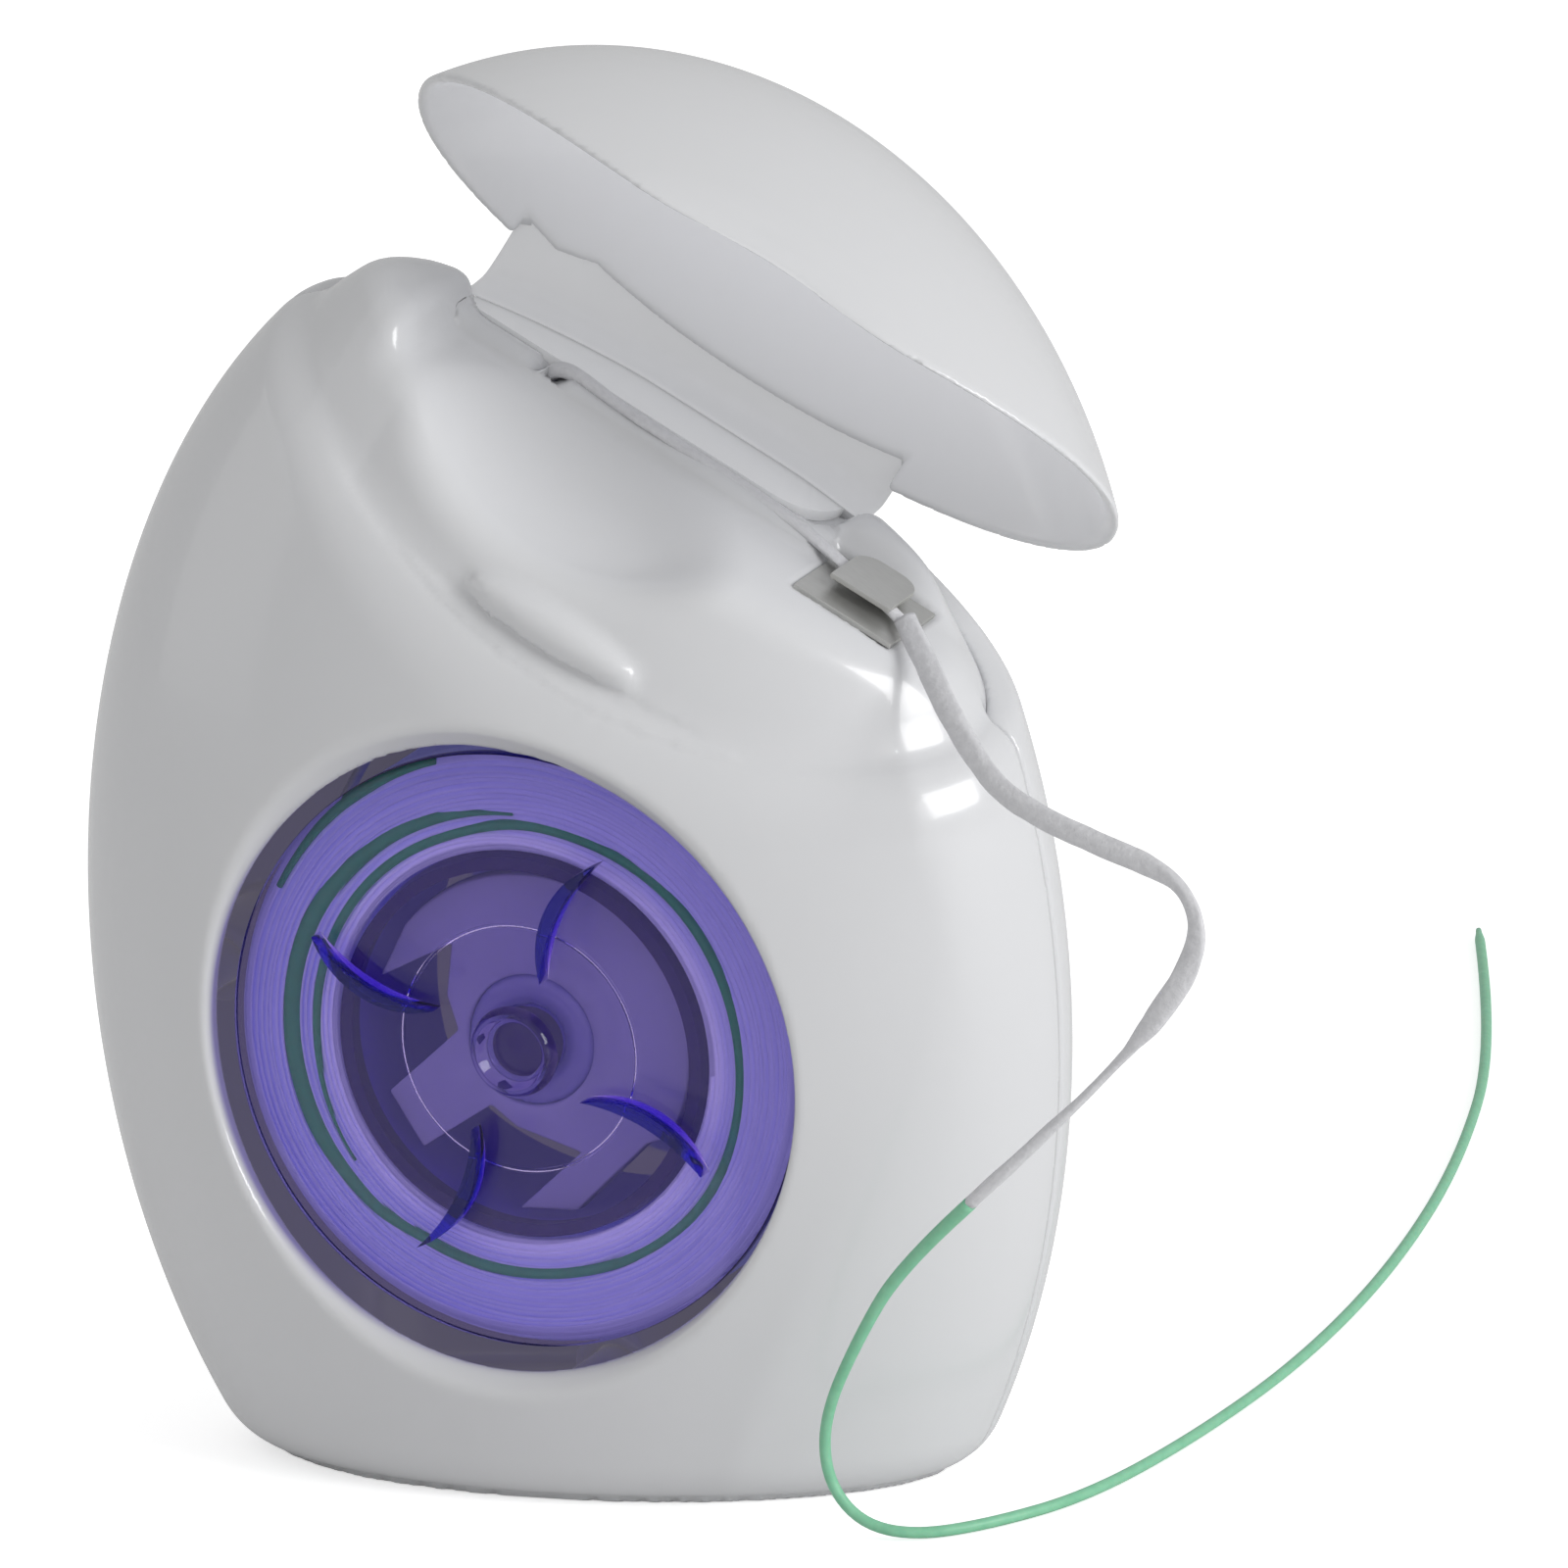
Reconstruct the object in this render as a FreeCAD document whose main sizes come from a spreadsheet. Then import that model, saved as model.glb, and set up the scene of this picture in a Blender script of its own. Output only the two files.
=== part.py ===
import FreeCAD, Part
import math
import os

Vector = FreeCAD.Vector
Rotation = FreeCAD.Rotation
Placement = FreeCAD.Placement

# The case is an upright egg with a flat base at Z 0, its window on the -Y side.
# The lid parts from it along a slanted surface. Sizes called across, back and up are
# measured in the lid frame: across runs along the hinge, back is +Y, up is square to both.

doc = FreeCAD.newDocument("floss_dispenser")
sheet = doc.addObject("Spreadsheet::Sheet", "sizes")

sizes = {
    # outer egg of the closed case
    "case_half_width": 26.0,
    "case_half_depth": 13.0,
    "case_half_height": 38.4,
    "case_centre_height": 25.6,
    "case_wall": 1.6,
    "base_round": 1.2,
    # slanted parting surface: a plane behind the middle, an arc in front of it
    "lid_tilt": 29.7,
    "parting_rise": 28.2,
    "parting_slope": 12.7,
    "parting_arc": 20.0,
    "parting_gap": 0.35,
    "parting_reach": 30.0,
    "parting_drop": 1.3,
    # lid and its hinge
    "lid_wall": 1.2,
    "lid_play": 0.3,
    "lid_open": 67.0,
    "hinge_proud": 0.37,
    "hinge_up": 1.97,
    "hinge_left": -3.8,
    "hinge_right": 15.4,
    "hinge_relief_slope": 50.0,
    "hinge_web_radius": 0.25,
    "hinge_strip_share": 0.8,
    "notch_across": 5.0,
    "notch_width": 14.0,
    "notch_depth": 0.4,
    # deck inside the lid, with its collar
    "deck_up": 0.6,
    "collar_up": 2.4,
    "deck_wall": 1.4,
    "deck_seam": 0.15,
    "ledge_depth": 2.6,
    "scoop_across": 4.3,
    "scoop_half_width": 9.0,
    "scoop_front": -8.0,
    "scoop_half_depth": 9.6,
    "scoop_drop": 3.8,
    "scoop_half_height": 5.7,
    "bead_across": 8.0,
    "bead_up": -4.9,
    "bead_half_length": 4.7,
    "bead_half_height": 1.0,
    "bead_proud": 0.8,
    "bead_play": 0.2,
    # round window in the front shell
    "window_radius": 15.83,
    "window_height": 23.0,
    "window_rim": 10.2,
    "window_flare": 2.6,
    "window_flare_run": 2.8,
    # spool wheel
    "flange_play": 0.33,
    "flange_sunk": 2.0,
    "flange_thickness": 0.9,
    "hub_radius": 9.7,
    "hub_wall": 0.65,
    "spool_length": 12.8,
    "rear_flange_play": 0.4,
    "fin_inner": 4.4,
    "fin_outer": 11.6,
    "fin_bulge": 1.4,
    "fin_hollow": 0.7,
    "fin_height": 1.2,
    "fin_turn": 61.0,
    "boss_radius": 2.25,
    "boss_height": 0.65,
    "boss_draft": 0.35,
    # post that the spool turns on
    "pin_radius": 1.6,
    "pin_length": 9.0,
    "pin_play": 0.05,
    "post_radius": 3.2,
    "post_play": 1.2,
    "spider_behind": 0.1,
    "spider_thickness": 0.8,
    "spider_play": 0.3,
    # alignment pins between the shells
    "peg_radius": 1.2,
    "peg_reach": 3.0,
    "peg_play": 0.05,
    "socket_wall": 0.9,
    "socket_play": 0.3,
    "side_peg_across": 20.0,
    "side_peg_height": 24.0,
    "foot_peg_height": 4.0,
    # floss on the spool
    "core_radius": 14.2,
    "core_play": 0.1,
    "feed_diameter": 0.8,
    "turn_gap": 0.45,
    "threader_diameter": 0.55,
    "threader_turn_gap": 0.45,
    "threader_turns": 1.25,
    "threader_inset": 2.0,
    "threader_play": 0.07,
    # tongue, guide hole and cutter on the deck
    "leaf_left": -6.5,
    "leaf_right": 14.6,
    "leaf_front": 3.1,
    "leaf_thickness": 0.6,
    "leaf_play": 0.05,
    "hinge_web_play": 0.05,
    "guide_across": -0.9,
    "guide_back": 2.6,
    "guide_radius": 0.95,
    "cutter_across": 19.2,
    "cutter_back": -0.2,
    "cutter_length": 5.8,
    "cutter_width": 5.5,
    "cutter_thickness": 0.3,
    "cutter_play": 0.1,
    "cutter_proud": 0.05,
    "tab_left": -1.8,
    "tab_right": 1.7,
    "tab_front": -2.4,
    "tab_clear": 1.0,
    "tab_bend": 0.7,
    # free strand
    "strand_diameter": 1.3,
    # one overrun for every cut
    "overrun": 2.0,
}

for row, (alias, value) in enumerate(sizes.items(), start=1):
    sheet.set(f"A{row}", alias)
    sheet.set(f"B{row}", str(value))
    sheet.setAlias(f"B{row}", alias)
doc.recompute()


def size(alias):
    return float(sheet.get(alias))


def primitive(kind, name, **formulas):
    made = doc.addObject("Part::" + kind, name)
    for field, formula in formulas.items():
        made.setExpression(field, formula)
    return made


def cut(name, base, tool):
    made = doc.addObject("Part::Cut", name)
    made.Base = base
    made.Tool = tool
    return made


def common(name, base, tool):
    made = doc.addObject("Part::Common", name)
    made.Base = base
    made.Tool = tool
    return made


def fuse(name, *pieces):
    made = doc.addObject("Part::MultiFuse", name)
    made.Shapes = list(pieces)
    return made


def feature(name, shape):
    made = doc.addObject("Part::Feature", name)
    made.Shape = shape
    return made


# Lid frame

tilt = math.radians(size("lid_tilt"))
along_hinge = Vector(math.cos(tilt), 0, -math.sin(tilt))
up_from_deck = Vector(math.sin(tilt), 0, math.cos(tilt))
lid_turn = Rotation(Vector(0, 1, 0), size("lid_tilt"))
parting_centre = Vector(0, 0, size("case_centre_height") + size("parting_rise"))


def lid_point(across, back, up):
    return parting_centre + along_hinge * across + Vector(0, back, 0) + up_from_deck * up


def in_lid_frame(made, across, back, up):
    made.Placement = Placement(lid_point(across, back, up), lid_turn)
    return made


def back_of_egg(inset, across, up):
    """How far in front of the middle the inset egg's surface lies at a point of the lid frame."""
    point = lid_point(across, 0, up)
    width_share = point.x / (size("case_half_width") - inset)
    height_share = (point.z - size("case_centre_height")) / (size("case_half_height") - inset)
    return -(size("case_half_depth") - inset) * math.sqrt(1 - width_share**2 - height_share**2)


# The hinge line stands just behind the egg's rear surface
hinge_middle = (size("hinge_left") + size("hinge_right")) / 2
hinge_back = size("hinge_proud") - back_of_egg(0, hinge_middle, size("hinge_up"))
leaf_seat_left = size("leaf_left") - 2 * size("leaf_play")


# Shared forms

def egg(name, inset):
    made = primitive(
        "Ellipsoid",
        name,
        Radius1=f"sizes.case_half_height - ({inset})",
        Radius2=f"sizes.case_half_width - ({inset})",
        Radius3=f"sizes.case_half_depth - ({inset})",
    )
    made.setExpression("Placement.Base.z", "sizes.case_centre_height")
    return made


def half_space_box(name, low_y, high_y, low_z):
    reach = "2 * sizes.case_half_height"
    made = primitive(
        "Box",
        name,
        Length=f"2 * {reach}",
        Width=f"({high_y}) - ({low_y})",
        Height=f"2 * {reach}",
    )
    made.setExpression("Placement.Base.x", f"-{reach}")
    made.setExpression("Placement.Base.y", low_y)
    made.setExpression("Placement.Base.z", low_z)
    return made


def above_parting(name, raised):
    # Everything above the parting surface, raised square to the deck. The surface itself lies
    # the drop below the middle of the lid frame.
    slope = math.radians(size("parting_slope"))
    radius = size("parting_arc")
    reach = size("parting_reach")
    centre = Vector(-reach, radius * math.sin(slope), -radius * math.cos(slope))
    steep = math.radians(70)

    def on_arc(angle):
        return centre + Vector(0, -radius * math.sin(angle), radius * math.cos(angle))

    middle = Vector(-reach, 0, 0)
    front = on_arc(steep)
    rear = Vector(-reach, reach, reach * math.tan(slope))
    front_far = Vector(-reach, -reach, front.z)
    corners = [front_far, Vector(-reach, -reach, reach), Vector(-reach, reach, reach), rear]
    edges = [
        Part.LineSegment(middle, rear).toShape(),
        Part.Arc(middle, on_arc((slope + steep) / 2), front).toShape(),
        Part.LineSegment(front, front_far).toShape(),
    ]
    for start, end in zip(corners, corners[1:]):
        edges.append(Part.LineSegment(start, end).toShape())
    outline = Part.Wire(Part.__sortEdges__(edges))
    solid = Part.Face(outline).extrude(Vector(2 * reach, 0, 0))
    return in_lid_frame(feature(name, solid), 0, 0, raised - size("parting_drop"))


def lid_frame_box(name, low, high):
    # A box between two corners given as across, back and up
    made = doc.addObject("Part::Box", name)
    made.Length = high[0] - low[0]
    made.Width = high[1] - low[1]
    made.Height = high[2] - low[2]
    return in_lid_frame(made, *low)


def drum(name, radius, front, length, height="sizes.window_height", across="0"):
    # A cylinder along Y whose front face is at Y front and which reaches back by length
    made = primitive("Cylinder", name, Radius=radius, Height=length)
    made.Placement = Placement(Vector(), Rotation(Vector(1, 0, 0), -90))
    made.setExpression("Placement.Base.x", across)
    made.setExpression("Placement.Base.y", front)
    made.setExpression("Placement.Base.z", height)
    return made


reach = size("parting_reach")
base_half = half_space_box("above_base", "-sizes.case_half_depth - sizes.overrun",
                           "sizes.case_half_depth + sizes.overrun", "0")
front_half = half_space_box("front_half", "-sizes.case_half_depth - sizes.overrun", "0",
                            "-sizes.overrun")
rear_half = half_space_box("rear_half", "0", "sizes.case_half_depth + sizes.overrun",
                           "-sizes.overrun")
outer_egg = egg("outer_egg", "0")
standing_egg = common("standing_egg", outer_egg, base_half)
doc.recompute()


def on_base(edge):
    box = edge.BoundBox
    return box.ZMax < size("case_wall") / 2


closed_form = doc.addObject("Part::Fillet", "closed_form")
closed_form.Base = standing_egg
closed_form.Edges = [(number, size("base_round"), size("base_round"))
                     for number, edge in enumerate(standing_egg.Shape.Edges, start=1)
                     if on_base(edge)]
parting = above_parting("parting", 0)


def case_blank():
    # Hollow case under the parting surface, open at the top, with a floor
    floor_space = half_space_box("above_floor", "-sizes.case_half_depth", "sizes.case_half_depth",
                                 "sizes.case_wall")
    hollow = common("case_hollow", egg("inner_egg", "sizes.case_wall"), floor_space)
    walls = cut("case_walls", closed_form, hollow)
    return cut("case_blank", walls, parting)


def deck():
    # Thin deck plate with a collar round it, sunk by the scoop
    front_egg = common("deck_front_egg", egg("collar_egg", "sizes.lid_wall + sizes.lid_play"),
                       front_half)
    rear_reach = half_space_box("deck_rear_reach", "-sizes.overrun", "sizes.case_half_depth", "0")
    rear_egg = common("deck_rear_egg", egg("deck_egg", "sizes.case_wall + sizes.deck_seam"),
                      rear_reach)
    blank = fuse("deck_eggs", front_egg, rear_egg)
    slab = lid_frame_box("deck_slab", (-reach, -reach, -reach), (2 * reach, reach, size("collar_up")))
    under = above_parting("under_ledge", -size("ledge_depth"))
    block = common("deck_block", common("deck_sheet", blank, slab), under)
    hollow_slab = lid_frame_box("deck_hollow_slab", (-reach, -reach, -reach),
                                (2 * reach, reach, size("deck_up") - size("deck_wall")))
    hollow = common("deck_hollow", egg("deck_inner_egg", "sizes.case_wall + sizes.deck_wall"),
                    hollow_slab)

    def scoop(name, wall):
        made = primitive(
            "Ellipsoid",
            name,
            Radius1=f"sizes.scoop_half_height + {wall}",
            Radius2=f"sizes.scoop_half_width + {wall}",
            Radius3=f"sizes.scoop_half_depth + {wall}",
        )
        middle = size("deck_up") + size("scoop_drop") / 2
        return in_lid_frame(made, size("scoop_across"), size("scoop_front"), middle)

    under_scoop = cut("deck_under_scoop", hollow, scoop("scoop_underside", "sizes.deck_wall"))
    plate = cut("deck_plate", cut("deck_open", block, under_scoop), scoop("scoop", "0"))
    # The collar stands above the deck on the left and behind the cutter
    well = fuse(
        "deck_well",
        lid_frame_box("tongue_well", (leaf_seat_left, -reach, size("deck_up")),
                      (size("hinge_right"), reach, reach)),
        lid_frame_box("cutter_well", (leaf_seat_left, -reach, size("deck_up")),
                      (2 * reach, size("leaf_front"), reach)),
    )
    return cut("deck_sunk", plate, well)


def bead(name, grown):
    made = primitive(
        "Ellipsoid",
        name,
        Radius1=f"sizes.bead_half_height + {grown}",
        Radius2=f"sizes.bead_half_length + {grown}",
        Radius3=f"sizes.bead_proud + {grown}",
    )
    collar = back_of_egg(size("lid_wall") + size("lid_play"), size("bead_across"), size("bead_up"))
    return in_lid_frame(made, size("bead_across"), collar, size("bead_up"))


def pegs(name, radius, front, rear):
    side = "sizes.side_peg_across"
    made = []
    for place, across, height in (
        ("left", f"-{side}", "sizes.side_peg_height"),
        ("right", side, "sizes.side_peg_height"),
        ("foot", "0", "sizes.foot_peg_height"),
    ):
        made.append(drum(f"{name}_{place}", radius, front, f"({rear}) - ({front})", height, across))
    return made


def front_shell(blank):
    half = common("front_blank", blank, front_half)
    inside = egg("peg_limit", "sizes.case_wall / 2")
    peg_group = fuse("front_pegs", *pegs("peg", "sizes.peg_radius", "-sizes.case_half_depth",
                                         "sizes.peg_reach"))
    pegs_inside = common("front_pegs_inside", peg_group, inside)
    whole = fuse("front_whole", half, deck(), pegs_inside)
    beaded = fuse("front_beaded", whole, bead("latch_bead", "0"))
    window = drum("window", "sizes.window_radius", "-sizes.case_half_depth - sizes.overrun",
                  "sizes.case_half_depth")
    flare = primitive(
        "Cone",
        "window_flare",
        Radius1="sizes.window_radius + sizes.window_flare_run",
        Radius2="sizes.window_radius",
        Height="sizes.window_flare",
    )
    flare.Placement = Placement(Vector(), Rotation(Vector(1, 0, 0), -90))
    flare.setExpression("Placement.Base.y", "-sizes.window_rim - sizes.window_flare")
    flare.setExpression("Placement.Base.z", "sizes.window_height")
    guide = primitive("Cylinder", "guide_hole", Radius="sizes.guide_radius",
                      Height="2 * sizes.ledge_depth + 2 * sizes.overrun")
    in_lid_frame(guide, size("guide_across"), size("guide_back"),
                 size("deck_up") + size("overrun") - guide.getPropertyByName("Height").Value)
    pocket = lid_frame_box("cutter_pocket", *cutter_seat(size("cutter_play"), size("overrun")))
    made = beaded
    for number, tool in enumerate((window, flare, guide, pocket), start=1):
        made = cut(f"front_cut_{number}", made, tool)
    return made


def cutter_seat(grown, raised):
    # Corners of the plate's place in the deck
    low = (
        size("cutter_across") - size("cutter_length") / 2 - grown,
        size("cutter_back") - size("cutter_width") / 2 - grown,
        size("deck_up") + size("cutter_proud") - size("cutter_thickness"),
    )
    high = (
        size("cutter_across") + size("cutter_length") / 2 + grown,
        size("cutter_back") + size("cutter_width") / 2 + grown,
        size("deck_up") + size("cutter_proud") + raised,
    )
    return low, high


def hinge_relief():
    # Room behind the hinge line for the lid's rear wall when it is thrown back
    front = size("leaf_front")
    floor = size("deck_up")
    back = hinge_back
    drop = reach * math.tan(math.radians(size("hinge_relief_slope")))
    outline = Part.makePolygon([
        Vector(0, front, floor),
        Vector(0, back, floor),
        Vector(0, back + reach, floor - drop),
        Vector(0, back + reach, reach),
        Vector(0, front, reach),
        Vector(0, front, floor),
    ])
    wide = size("hinge_right") - size("hinge_left")
    solid = Part.Face(outline).extrude(Vector(wide, 0, 0))
    return in_lid_frame(feature("hinge_relief", solid), size("hinge_left"), 0, 0)


def rear_shell(blank):
    leaf_seat = lid_frame_box("leaf_seat", (leaf_seat_left, size("leaf_front"), size("deck_up")),
                              (size("hinge_right"), hinge_back, reach))
    relieved = cut("rear_relieved", common("rear_walls", blank, rear_half), hinge_relief())
    half = cut("rear_blank", relieved, leaf_seat)
    post_front = "-sizes.window_rim + sizes.flange_sunk + sizes.flange_thickness + sizes.post_play"
    post = drum("post", "sizes.post_radius", post_front,
                f"sizes.case_half_depth - sizes.case_wall / 2 - ({post_front})")
    boss_end = "sizes.case_half_depth"
    sockets = fuse("sockets", *pegs("socket", "sizes.peg_radius + sizes.peg_play + sizes.socket_wall",
                                    "sizes.socket_play", boss_end))
    sockets_inside = common("sockets_inside", sockets, egg("socket_limit", "sizes.case_wall / 2"))
    solid = fuse("rear_solid", half, post, sockets_inside)
    bore = drum("post_bore", "sizes.pin_radius + sizes.pin_play", f"{post_front} - sizes.overrun",
                "sizes.pin_length + sizes.overrun")
    bored = cut("rear_bored", solid, bore)
    holes = fuse("peg_holes", *pegs("peg_hole", "sizes.peg_radius + sizes.peg_play",
                                    "-sizes.overrun", "sizes.peg_reach + sizes.socket_play"))
    return cut("rear_holed", bored, holes)


def hinge_placement():
    centre = lid_point(0, hinge_back, size("hinge_up"))
    return Placement(Vector(), Rotation(along_hinge, -size("lid_open")), centre)


def lid():
    dome = common("lid_dome", closed_form, above_parting("lid_edge", size("parting_gap")))
    hinge_edge = hinge_back + size("hinge_web_play")
    flat = lid_frame_box("lid_hinge_flat", (-reach, hinge_edge, -reach), (2 * reach, reach, reach))
    cavity_limit = lid_frame_box("lid_cavity_limit", (-reach, -reach, -reach),
                                 (2 * reach, hinge_edge - size("lid_wall"), reach))
    cavity = common("lid_cavity", egg("lid_inner_egg", "sizes.lid_wall"), cavity_limit)
    shell = cut("lid_shell", cut("lid_flat", dome, flat), cavity)
    recess = cut("lid_recess", shell, bead("bead_recess", "sizes.bead_play"))
    # Room for the tongue and the bending strip under the rear wall
    tongue_room = lid_frame_box(
        "tongue_room",
        (size("leaf_left") - size("lid_play"), 0, -reach),
        (size("hinge_right") + size("lid_play"), reach,
         size("hinge_up") + size("hinge_web_radius") + 2 * size("hinge_web_play")),
    )
    raised = cut("lid_over_tongue", recess, tongue_room)
    # Flat for the thumb on the front of the rim
    rim_up = rim_height(size("notch_across")) + size("parting_gap")
    rim_back = back_of_egg(0, size("notch_across"), rim_up)
    half_notch = size("notch_width") / 2
    notch = lid_frame_box(
        "thumb_notch",
        (size("notch_across") - half_notch, -reach, -reach),
        (size("notch_across") + half_notch, rim_back + size("notch_depth"), 0),
    )
    return cut("lid_closed", raised, notch)


def rim_height(across):
    # Height of the parting arc where it meets the egg's outer surface in front
    slope = math.radians(size("parting_slope"))
    radius = size("parting_arc")
    up = 0.0
    for step in range(40):
        back = back_of_egg(0, across, up)
        angle = math.asin((radius * math.sin(slope) - back) / radius)
        up = radius * math.cos(angle) - radius * math.cos(slope) - size("parting_drop")
    return up


def hinge_leaf():
    made = doc.addObject("PartDesign::Body", "leaf_body")
    outline = made.newObject("Sketcher::SketchObject", "leaf_outline")
    plane = next(p for p in made.Origin.OriginFeatures if p.Role == "XY_Plane")
    outline.AttachmentSupport = [(plane, "")]
    outline.MapMode = "FlatFace"
    left = size("leaf_left")
    front = size("leaf_front")
    rear = hinge_back - size("hinge_web_radius") - size("hinge_web_play")
    round_end = (rear - front) / 2
    right = size("leaf_right") - round_end
    middle = (front + rear) / 2
    outline.addGeometry(Part.LineSegment(Vector(left, front, 0), Vector(right, front, 0)))
    outline.addGeometry(Part.LineSegment(Vector(right, rear, 0), Vector(left, rear, 0)))
    outline.addGeometry(Part.LineSegment(Vector(left, rear, 0), Vector(left, front, 0)))
    end_circle = Part.Circle(Vector(right, middle, 0), Vector(0, 0, 1), round_end)
    outline.addGeometry(Part.ArcOfCircle(end_circle, -math.pi / 2, math.pi / 2))
    pad = made.newObject("PartDesign::Pad", "leaf_pad")
    pad.Profile = outline
    pad.setExpression("Length", "sizes.leaf_thickness")
    doc.recompute()
    made.Placement = Placement(lid_point(0, 0, size("deck_up") + size("leaf_play")), lid_turn)
    return made


def hinge_web():
    made = primitive("Cylinder", "web_rod", Radius="sizes.hinge_web_radius",
                     Height="sizes.hinge_right - sizes.hinge_left")
    turn = Rotation(Vector(0, 0, 1), along_hinge)
    left = size("hinge_left")
    back = hinge_back
    made.Placement = Placement(lid_point(left, back, size("hinge_up")), turn)
    strip_front = back - size("hinge_web_radius") * size("hinge_strip_share")
    strip = lid_frame_box("web_strip", (left, strip_front, size("deck_up") + size("leaf_play")),
                          (size("hinge_right"), back, size("hinge_up")))
    return fuse("web", made, strip)


def cutter():
    plate = lid_frame_box("cutter_plate", *cutter_seat(0, 0))
    top = size("deck_up") + size("cutter_proud")
    across = size("cutter_across")
    back = size("cutter_back")
    rear = back + size("cutter_width") / 2
    thick = size("cutter_thickness")
    under = top + size("tab_clear")
    left = across + size("tab_left")
    right = across + size("tab_right")
    front = back + size("tab_front")
    tab = lid_frame_box("cutter_tab", (left, front, under), (right, rear, under + thick))
    bend = lid_frame_box("cutter_bend", (left, rear - thick, top - thick), (right, rear, under + thick))
    return fuse("cutter_steel", plate, tab, bend)


flange_front = "(-sizes.window_rim + sizes.flange_sunk)"
flange_rear = f"({flange_front} + sizes.flange_thickness)"
spool_end = f"({flange_front} + sizes.spool_length)"


def fin(name, turn):
    half_chord = (size("fin_outer") - size("fin_inner")) / 2
    middle = (size("fin_outer") + size("fin_inner")) / 2

    def arc_drum(part, bulge):
        radius = (half_chord**2 + bulge**2) / (2 * bulge)
        made = doc.addObject("Part::Cylinder", part)
        made.Radius = radius
        made.Height = size("fin_height") + size("flange_thickness") / 2
        angle = math.radians(turn)
        out = Vector(math.cos(angle), 0, math.sin(angle))
        aside = Vector(-math.sin(angle), 0, math.cos(angle))
        centre = out * middle + aside * (bulge - radius)
        front = -size("window_rim") + size("flange_sunk") - size("fin_height")
        centre += Vector(0, front, size("window_height"))
        made.Placement = Placement(centre, Rotation(Vector(1, 0, 0), -90))
        return made

    return cut(name, arc_drum(f"{name}_outside", size("fin_bulge")),
               arc_drum(f"{name}_inside", size("fin_hollow")))


def spool():
    radius = "sizes.window_radius - sizes.flange_play"
    front_flange = drum("front_flange", radius, flange_front, "sizes.flange_thickness")
    hub = cut(
        "hub_tube",
        drum("hub_outside", "sizes.hub_radius", flange_front, "sizes.spool_length"),
        drum("hub_inside", "sizes.hub_radius - sizes.hub_wall", flange_rear, "sizes.spool_length"),
    )
    rear_flange = cut(
        "rear_flange",
        drum("rear_flange_disc", f"{radius} - sizes.rear_flange_play",
             f"{spool_end} - sizes.flange_thickness", "sizes.flange_thickness"),
        drum("rear_flange_hole", "sizes.hub_radius - sizes.hub_wall / 2",
             f"{spool_end} - sizes.flange_thickness - sizes.overrun",
             "sizes.flange_thickness + 2 * sizes.overrun"),
    )
    pin = drum("spool_pin", "sizes.pin_radius", f"{flange_front} + sizes.flange_thickness / 2",
               "sizes.pin_length")
    boss = primitive("Cone", "boss", Radius1="sizes.boss_radius - sizes.boss_draft",
                     Radius2="sizes.boss_radius", Height="sizes.boss_height")
    boss.Placement = Placement(Vector(), Rotation(Vector(1, 0, 0), -90))
    boss.setExpression("Placement.Base.y", f"{flange_front} - sizes.boss_height")
    boss.setExpression("Placement.Base.z", "sizes.window_height")
    fins = [fin(f"fin_{number}", size("fin_turn") + 90 * number) for number in range(4)]
    return fuse("spool_wheel", front_flange, hub, rear_flange, pin, boss, *fins)


# Outline of the spider's plate: a turn in degrees and a share of its tip radius for each corner.
# Between the last corner and the first it follows an arc round the upper right.
spider_shares = [
    (139, 0.95),
    (160, 0.94),
    (130, 0.69),
    (155, 0.54),
    (176, 0.43),
    (201, 0.94),
    (223, 0.95),
    (235, 0.46),
    (256, 0.51),
    (292, 0.68),
    (262, 0.98),
    (282, 0.99),
    (319, 0.86),
    (327, 0.95),
]


def brake_spider():
    front = (-size("window_rim") + size("flange_sunk") + size("flange_thickness")
             + size("post_play") + size("spider_behind"))
    tip = size("hub_radius") - size("hub_wall") - size("spider_play")

    def corner(turn, share):
        angle = math.radians(turn)
        return Vector(tip * share * math.cos(angle), front,
                      size("window_height") + tip * share * math.sin(angle))

    corners = [corner(turn, share) for turn, share in spider_shares]
    edges = [Part.LineSegment(a, b).toShape() for a, b in zip(corners, corners[1:])]
    first, last = spider_shares[0], spider_shares[-1]
    over = corner((last[0] - 360 + first[0]) / 2, first[1])
    edges.append(Part.Arc(corners[-1], over, corners[0]).toShape())
    plate = Part.Face(Part.Wire(edges)).extrude(Vector(0, size("spider_thickness"), 0))
    hole = drum("spider_hole", "sizes.post_radius", str(front - size("overrun")),
                "sizes.spider_thickness + 2 * sizes.overrun")
    return cut("spider", feature("spider_plate", plate), hole)


# Floss

def arc_from(start, tangent, end):
    # The arc that leaves start along tangent and ends at end, and its tangent there
    chord = end - start
    reach_half = chord.Length / 2
    along = Vector(chord).normalize()
    side = tangent - along * tangent.dot(along)
    if side.Length < 1e-9:
        return Part.LineSegment(start, end).toShape(), Vector(tangent)
    side.normalize()
    angle = math.acos(max(-1, min(1, tangent.dot(along))))
    middle = start + chord / 2 + side * (reach_half * math.tan(angle / 2))
    leaving = along * (2 * tangent.dot(along)) - tangent
    return Part.Arc(start, middle, end).toShape(), leaving


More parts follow.
